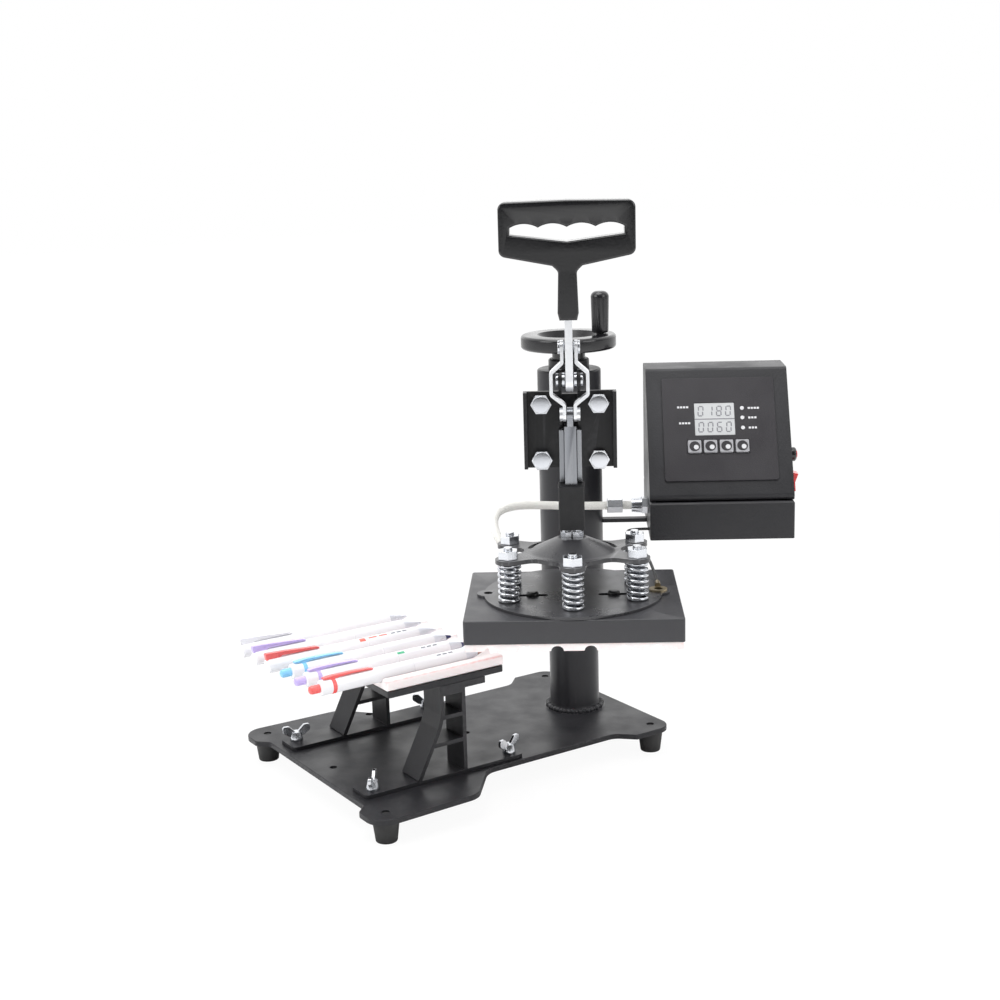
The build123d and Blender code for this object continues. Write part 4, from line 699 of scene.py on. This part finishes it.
# Springs. Six zinc plated coil springs with closed ends stand round the studs, and push
# the hot plate down from the spider so that it lies flat on the pens.
plate_reach = 165  # the column's axis to the middle of the hot plate, in millimetres
stud_spots = [(plate_reach + 42, 0), (plate_reach - 42, 0)]
stud_spots += [(plate_reach + i * 21.5, j * 44.5) for i in (1, -1) for j in (1, -1)]
spring_tree, spring_sockets, spring_in, spring_out = shape_tree("coil_spring", [
    (label, "NodeSocketFloat") for label in ("Coils", "Coil Radius", "Height", "Wire Radius")])
helix = new_node(spring_tree, "GeometryNodeCurveSpiral", {"Resolution": 28})
wire_section = new_node(spring_tree, "GeometryNodeCurvePrimitiveCircle", {"Resolution": 12})
wire_round = new_node(spring_tree, "GeometryNodeCurveToMesh", {"Fill Caps": True})
end_ring = new_node(spring_tree, "GeometryNodeCurvePrimitiveCircle", {"Resolution": 32})
ring_round = new_node(spring_tree, "GeometryNodeCurveToMesh")
raised = new_node(spring_tree, "GeometryNodeTransform")
height_vector = new_node(spring_tree, "ShaderNodeCombineXYZ")
one_spring = new_node(spring_tree, "GeometryNodeJoinGeometry")
on_studs = new_node(spring_tree, "GeometryNodeInstanceOnPoints")
real_springs = new_node(spring_tree, "GeometryNodeRealizeInstances")
plated = new_node(spring_tree, "GeometryNodeSetMaterial", {"Material": zinc})
link_all(spring_tree, (
    (spring_in.outputs["Coils"], helix.inputs["Rotations"]),
    (spring_in.outputs["Coil Radius"], helix.inputs["Start Radius"]),
    (spring_in.outputs["Coil Radius"], helix.inputs["End Radius"]),
    (spring_in.outputs["Height"], helix.inputs["Height"]),
    (spring_in.outputs["Wire Radius"], wire_section.inputs["Radius"]),
    (helix.outputs["Curve"], wire_round.inputs["Curve"]),
    (wire_section.outputs["Curve"], wire_round.inputs["Profile Curve"]),
    (spring_in.outputs["Coil Radius"], end_ring.inputs["Radius"]),
    (end_ring.outputs["Curve"], ring_round.inputs["Curve"]),
    (wire_section.outputs["Curve"], ring_round.inputs["Profile Curve"]),
    (spring_in.outputs["Height"], height_vector.inputs["Z"]),
    (ring_round.outputs["Mesh"], raised.inputs["Geometry"]),
    (height_vector.outputs["Vector"], raised.inputs["Translation"]),
    (wire_round.outputs["Mesh"], one_spring.inputs["Geometry"]),
    (ring_round.outputs["Mesh"], one_spring.inputs["Geometry"]),
    (raised.outputs["Geometry"], one_spring.inputs["Geometry"]),
    (spring_in.outputs["Geometry"], on_studs.inputs["Points"]),
    (one_spring.outputs["Geometry"], on_studs.inputs["Instance"]),
    (on_studs.outputs["Instances"], real_springs.inputs["Geometry"]),
    (real_springs.outputs["Geometry"], plated.inputs["Geometry"]),
    (plated.outputs["Geometry"], spring_out.inputs["Geometry"])))
spring_bottom, spring_top, wire_thick = 144.5, 172.0, 2.7  # millimetres
coil_count, coil_radius = 6.0, 0.0064
stud_points = bpy.data.meshes.new("coil_springs")
stud_points.from_pydata([on_head(out, side, spring_bottom + wire_thick / 2)
                         for out, side in stud_spots], [], [])
coil_springs = placed("coil_springs", stud_points)
grow(coil_springs, spring_tree, spring_sockets,
     (coil_count, coil_radius, (spring_top - spring_bottom - wire_thick) / 1000,
      wire_thick / 2000))
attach(coil_springs, "press")
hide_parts("float_springs")
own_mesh(coil_springs)

# Studs. Six zinc plated studs rise from the disc through the lugs, each with a hex nut and
# a domed cap of thread above it.
dressed("float_studs", "float", zinc, edge=0.45)

# Disc. A dark steel disc with two drilled ears and two slots carries the studs.
dressed("float_disc", "float", hot_paint, edge=0.3)
screw_black = finish("screw_black", (0.03, 0.03, 0.03), (0.05, 0.05, 0.05), (0.3, 0.4), grain=700,
                     depth=0.05, metal=0.6)
dressed("disc_screws", "float", screw_black, edge=0.3)

# Hot plate. A cast aluminium block holds the heater and is coated dark grey all over.
plate_grey = finish("plate_grey", (0.026, 0.026, 0.029), (0.040, 0.040, 0.045), (0.34, 0.48),
                    grain=1200, depth=0.20, worn=(0.14, 0.14, 0.15), wear=0.6, gloss=0.45)
dressed("hot_plate", "float", plate_grey, edge=0.7)

# Heat pad. The same silicone lines the hot plate below, with a shallow groove for each pen.
dressed("heat_pad", "float", silicone, edge=0.4)

# Lead bush and ring terminal. A turned steel bush takes the lead into the hot plate, and a
# brass ring holds the wire's end on the disc's ear.
ring_brass = finish("ring_brass", (0.44, 0.37, 0.25), (0.34, 0.28, 0.18), (0.28, 0.42), grain=600,
                    depth=0.08, metal=1.0)
dressed("lead_bush", "float", screw_steel, edge=0.4)
dressed("sensor_terminal", "float", ring_brass, edge=0.2)

# Box arm. A flat black strip is welded to the sleeve and carries the control box.
dressed("box_arm", "head", black_coat, edge=0.4)

# Control box. A wedge of charcoal plastic with a fine leather grain snaps over a tray. Its
# mould rounds every edge, and a step shows where the two halves meet.
case_charcoal = finish("case_charcoal", (0.016, 0.016, 0.018), (0.025, 0.025, 0.028),
                       (0.40, 0.54), grain=650, depth=0.34, worn=(0.07, 0.07, 0.08), wear=0.5,
                       gloss=0.35)
dressed("case_shell", "head", case_charcoal, edge=1.3)
dressed("case_tray", "head", case_charcoal, edge=1.1)

# Control panel. A printed film lies on the sloping front, with a fine matt grain.
film = finish("panel_film", (0.024, 0.022, 0.026), (0.036, 0.034, 0.038), (0.34, 0.46),
              grain=1600, depth=0.24, gloss=0.35)
dressed("control_panel", "head", film, edge=0.3)
slope_run, slope_rise, slope_length = 60, 94.5, 111.94  # millimetres
slope_foot = 182.5
slope_out = (outward * slope_rise + Vector((0, 0, slope_run))) / slope_length
slope_up = (Vector((0, 0, slope_rise)) - outward * slope_run) / slope_length


def on_panel(side, up, lift):
    """A point on the sloping front, in millimetres sideways, up the slope and off it."""
    foot = on_head(slope_run, side, slope_foot)
    return foot + slope_up * (up / 1000) + slope_out * (lift / 1000)


def plaque(form, corners, low, high, slot):
    """A thin flat shape on the panel, from its outline and the two levels of its faces."""
    bottom = [form.verts.new(on_panel(side, up, low)) for side, up in corners]
    top = [form.verts.new(on_panel(side, up, high)) for side, up in corners]
    count = len(corners)
    form.faces.new(list(reversed(bottom))).material_index = slot
    form.faces.new(top).material_index = slot
    for k in range(count):
        nxt = (k + 1) % count
        form.faces.new((bottom[k], bottom[nxt], top[nxt], top[k])).material_index = slot


def bar(form, left, right, under, over, low, high):
    """An upright rectangle on the panel, from its four sides and the levels of its faces."""
    plaque(form, ((left, under), (right, under), (right, over), (left, over)), low, high, 0)


print_white = finish("print_white", (0.62, 0.62, 0.64), (0.70, 0.70, 0.72), (0.35, 0.45),
                     grain=900, depth=0.03)
marks = bmesh.new()
print_low, print_high, lamp_high = 1.15, 1.28, 1.7
dash_length, dash_step, dash_half = 1.7, 2.3, 0.8
lamp_side, lamp_radius, lamp_sides = 133.5, 1.5, 24
lamp_turns = [2 * pi * k / lamp_sides for k in range(lamp_sides)]
for start, up, count in ((83.5, 78.6, 4), (84.5, 65.2, 4), (138, 77, 4), (138, 69, 3),
                         (138, 60.6, 3)):
    for k in range(count):
        left = start + k * dash_step
        bar(marks, left, left + dash_length, up - dash_half, up + dash_half, print_low, print_high)
for up in (77, 69, 60.6):
    plaque(marks, [(lamp_side + lamp_radius * cos(turn), up + lamp_radius * sin(turn))
                   for turn in lamp_turns], print_low, lamp_high, 0)
as_piece("panel_marks", marks, (print_white,), "head", None)

# Display. Two rows of four seven-segment figures sit behind a pale grey window. The figures
# are plain numbers, unlit in daylight, a little darker than the window.
window_grey = finish("window_grey", (0.52, 0.53, 0.54), (0.58, 0.59, 0.60), (0.10, 0.18),
                     grain=700, depth=0.02)
segment_grey = finish("segment_grey", (0.20, 0.20, 0.22), (0.25, 0.25, 0.27), (0.2, 0.3),
                      grain=700, depth=0.02)
dressed("display_window", "head", window_grey, edge=0.3)
# Each segment: whether it lies flat, and how far sideways and up it is from the figure's middle
segments = {"top": (True, 0, 3.9), "middle": (True, 0, 0), "bottom": (True, 0, -3.9),
            "top_left": (False, -1.75, 2), "top_right": (False, 1.75, 2),
            "bottom_left": (False, -1.75, -2), "bottom_right": (False, 1.75, -2)}
lit = {"0": "top bottom top_left top_right bottom_left bottom_right",
       "1": "top_right bottom_right",
       "6": "top middle bottom top_left bottom_left bottom_right",
       "8": "top middle bottom top_left top_right bottom_left bottom_right"}
figures = bmesh.new()
first_figure, figure_step, figure_slant = 112.1 - 10.6, 7.1, 0.1
figure_low, figure_high = 0.75, 0.92
for row_up, number in ((75.2, "0180"), (61.8, "0060")):
    for place, figure in enumerate(number):
        middle_side = first_figure + place * figure_step
        for name in lit[figure].split():
            flat, side, up = segments[name]
            half_w, half_h = (1.35, 0.45) if flat else (0.45, 1.5)
            across, upward = middle_side + side + up * figure_slant, row_up + up
            bar(figures, across - half_w, across + half_w, upward - half_h, upward + half_h,
                figure_low, figure_high)
bar(figures, 96.7, 127.5, 68.2, 68.9, low=figure_low, high=0.95)
as_piece("display_figures", figures, (segment_grey,), "head", None)

# Keys. Four square grey push keys each carry a dark round touch mark with a pale rim.
key_grey = finish("key_grey", (0.34, 0.34, 0.36), (0.40, 0.40, 0.42), (0.36, 0.48), grain=900,
                  depth=0.08)
first_key, key_step, key_up, key_face = 95.7, 12.2, 45.4, 2.7  # millimetres
for number in range(1, 5):
    dressed(f"key_{number}", f"key{number}", key_grey, edge=0.6)
    side = first_key + (number - 1) * key_step
    face = bmesh.new()
    turned(face, ((-0.3, 4.1), (0.15, 4.1), (0.15, 0.3)), on_panel(side, key_up, key_face),
           slope_out, slot=0)
    turned(face, ((0.1, 1.9), (0.3, 1.9), (0.3, 0.3)), on_panel(side + 1.1, 44.6, key_face),
           slope_out, slot=1)
    as_piece(f"key_{number}_mark", face, (film, print_white), f"key{number}", None)

# Power rocker. A glossy red rocker tilts in the right side of the box.
rocker_red = finish("rocker_red", (0.62, 0.02, 0.02), (0.68, 0.03, 0.03), (0.14, 0.22), grain=400,
                    depth=0.02)
dressed("power_rocker", "rocker", rocker_red, edge=0.6)

# Fuse holder. A black turned cap with a red button stands above the rocker.
dressed("fuse_holder", "head", wheel_black, edge=0.4)
fuse_button = bmesh.new()
turned(fuse_button, ((-0.8, 3.2), (0.5, 3.2), (1.0, 2.6), (1.2, 0.4)),
       on_head(25, 174.7, 212), sideways, slot=0)
as_piece("fuse_button", fuse_button, (rocker_red,), "head", None)

# Gland and ferrule. Two bright plated fittings grip the lead at the box and end its sleeve.
dressed("lead_gland", "head", zinc, edge=0.5)
dressed("lead_ferrule", "head", zinc, edge=0.5)

# Studio. A pale floor fades into white, under a large soft lamp and a softer one at each
# side. The world is brightest above and behind the press, which draws its dark edges.
floor_half, floor_level = 6, -0.0215  # metres
floor_corners = [(x * floor_half, y * floor_half, floor_level)
                 for x, y in ((-1, -1), (1, -1), (1, 1), (-1, 1))]
floor_shape = bpy.data.meshes.new("floor")
floor_shape.from_pydata(floor_corners, [], [(0, 1, 2, 3)])
floor = placed("floor", floor_shape)
floor_paper = bpy.data.materials.new("floor_paper")
floor_paper.use_nodes = True
floor_tree = floor_paper.node_tree
paper = floor_tree.nodes["Principled BSDF"]
paper.inputs["Base Color"].default_value = (0.9, 0.9, 0.9, 1)
paper.inputs["Roughness"].default_value = 0.95
paper.inputs["Specular IOR Level"].default_value = 0.0
glow = new_node(floor_tree, "ShaderNodeEmission", {"Strength": 1.02})
rays = new_node(floor_tree, "ShaderNodeLightPath")
floor_place = new_node(floor_tree, "ShaderNodeTexCoord")
floor_away = new_node(floor_tree, "ShaderNodeVectorMath", operation="LENGTH")
fade = new_node(floor_tree, "ShaderNodeMapRange",
                {"From Min": 0.3, "From Max": 1.1, "To Min": 0.92, "To Max": 1.0})
share = new_node(floor_tree, "ShaderNodeMath", operation="MULTIPLY")
paper_mix = new_node(floor_tree, "ShaderNodeMixShader")
link_all(floor_tree, (
    (floor_place.outputs["Object"], floor_away.inputs[0]),
    (floor_away.outputs["Value"], fade.inputs["Value"]),
    (rays.outputs["Is Camera Ray"], share.inputs[0]),
    (fade.outputs["Result"], share.inputs[1]),
    (share.outputs["Value"], paper_mix.inputs["Fac"]),
    (paper.outputs["BSDF"], paper_mix.inputs[1]),
    (glow.outputs["Emission"], paper_mix.inputs[2]),
    (paper_mix.outputs["Shader"], floor_tree.nodes["Material Output"].inputs["Surface"])))
floor_shape.materials.append(floor_paper)

world = bpy.data.worlds.new("studio")
bpy.context.scene.world = world
world.use_nodes = True
sky_tree = world.node_tree
sky = sky_tree.nodes["Background"]
sky.inputs["Color"].default_value = (1, 1, 1, 1)
sky_rays = new_node(sky_tree, "ShaderNodeLightPath")
sky_seen = new_node(sky_tree, "ShaderNodeMath", operation="MAXIMUM")
sky_way = new_node(sky_tree, "ShaderNodeTexCoord")
brightest_way = (-0.62, 0.42, 0.66)
sky_side = new_node(sky_tree, "ShaderNodeVectorMath", {1: brightest_way}, "DOT_PRODUCT")
sky_falloff = new_node(sky_tree, "ShaderNodeMapRange",
                       {"From Min": -0.2, "From Max": 0.85, "To Min": 0.12, "To Max": 1.6})
sky_strength = new_node(sky_tree, "ShaderNodeMapRange", {"To Max": 1.0})
link_all(sky_tree, (
    (sky_way.outputs["Generated"], sky_side.inputs[0]),
    (sky_side.outputs["Value"], sky_falloff.inputs["Value"]),
    (sky_falloff.outputs["Result"], sky_strength.inputs["To Min"]),
    (sky_rays.outputs["Is Camera Ray"], sky_seen.inputs[0]),
    (sky_rays.outputs["Is Transmission Ray"], sky_seen.inputs[1]),
    (sky_seen.outputs["Value"], sky_strength.inputs["Value"]),
    (sky_strength.outputs["Result"], sky.inputs["Strength"])))


press_middle = Vector((0.05, 0.08, 0.15))


def soft_lamp(name, place, size, power):
    """A square area lamp that faces the middle of the press."""
    lamp = bpy.data.lights.new(name, "AREA")
    lamp.size = size
    lamp.energy = power
    holder = placed(name, lamp)
    holder.location = place
    facing = press_middle - Vector(place)
    holder.rotation_euler = facing.to_track_quat("-Z", "Y").to_euler()


soft_lamp("lamp_above", (0.1, -0.2, 1.7), size=1.2, power=16)
soft_lamp("lamp_left", (-0.1, -1.6, 1.0), size=1.0, power=12)
soft_lamp("lamp_right", (1.6, 0.6, 0.9), size=1.0, power=9)
bpy.context.scene.view_settings.view_transform = "Standard"
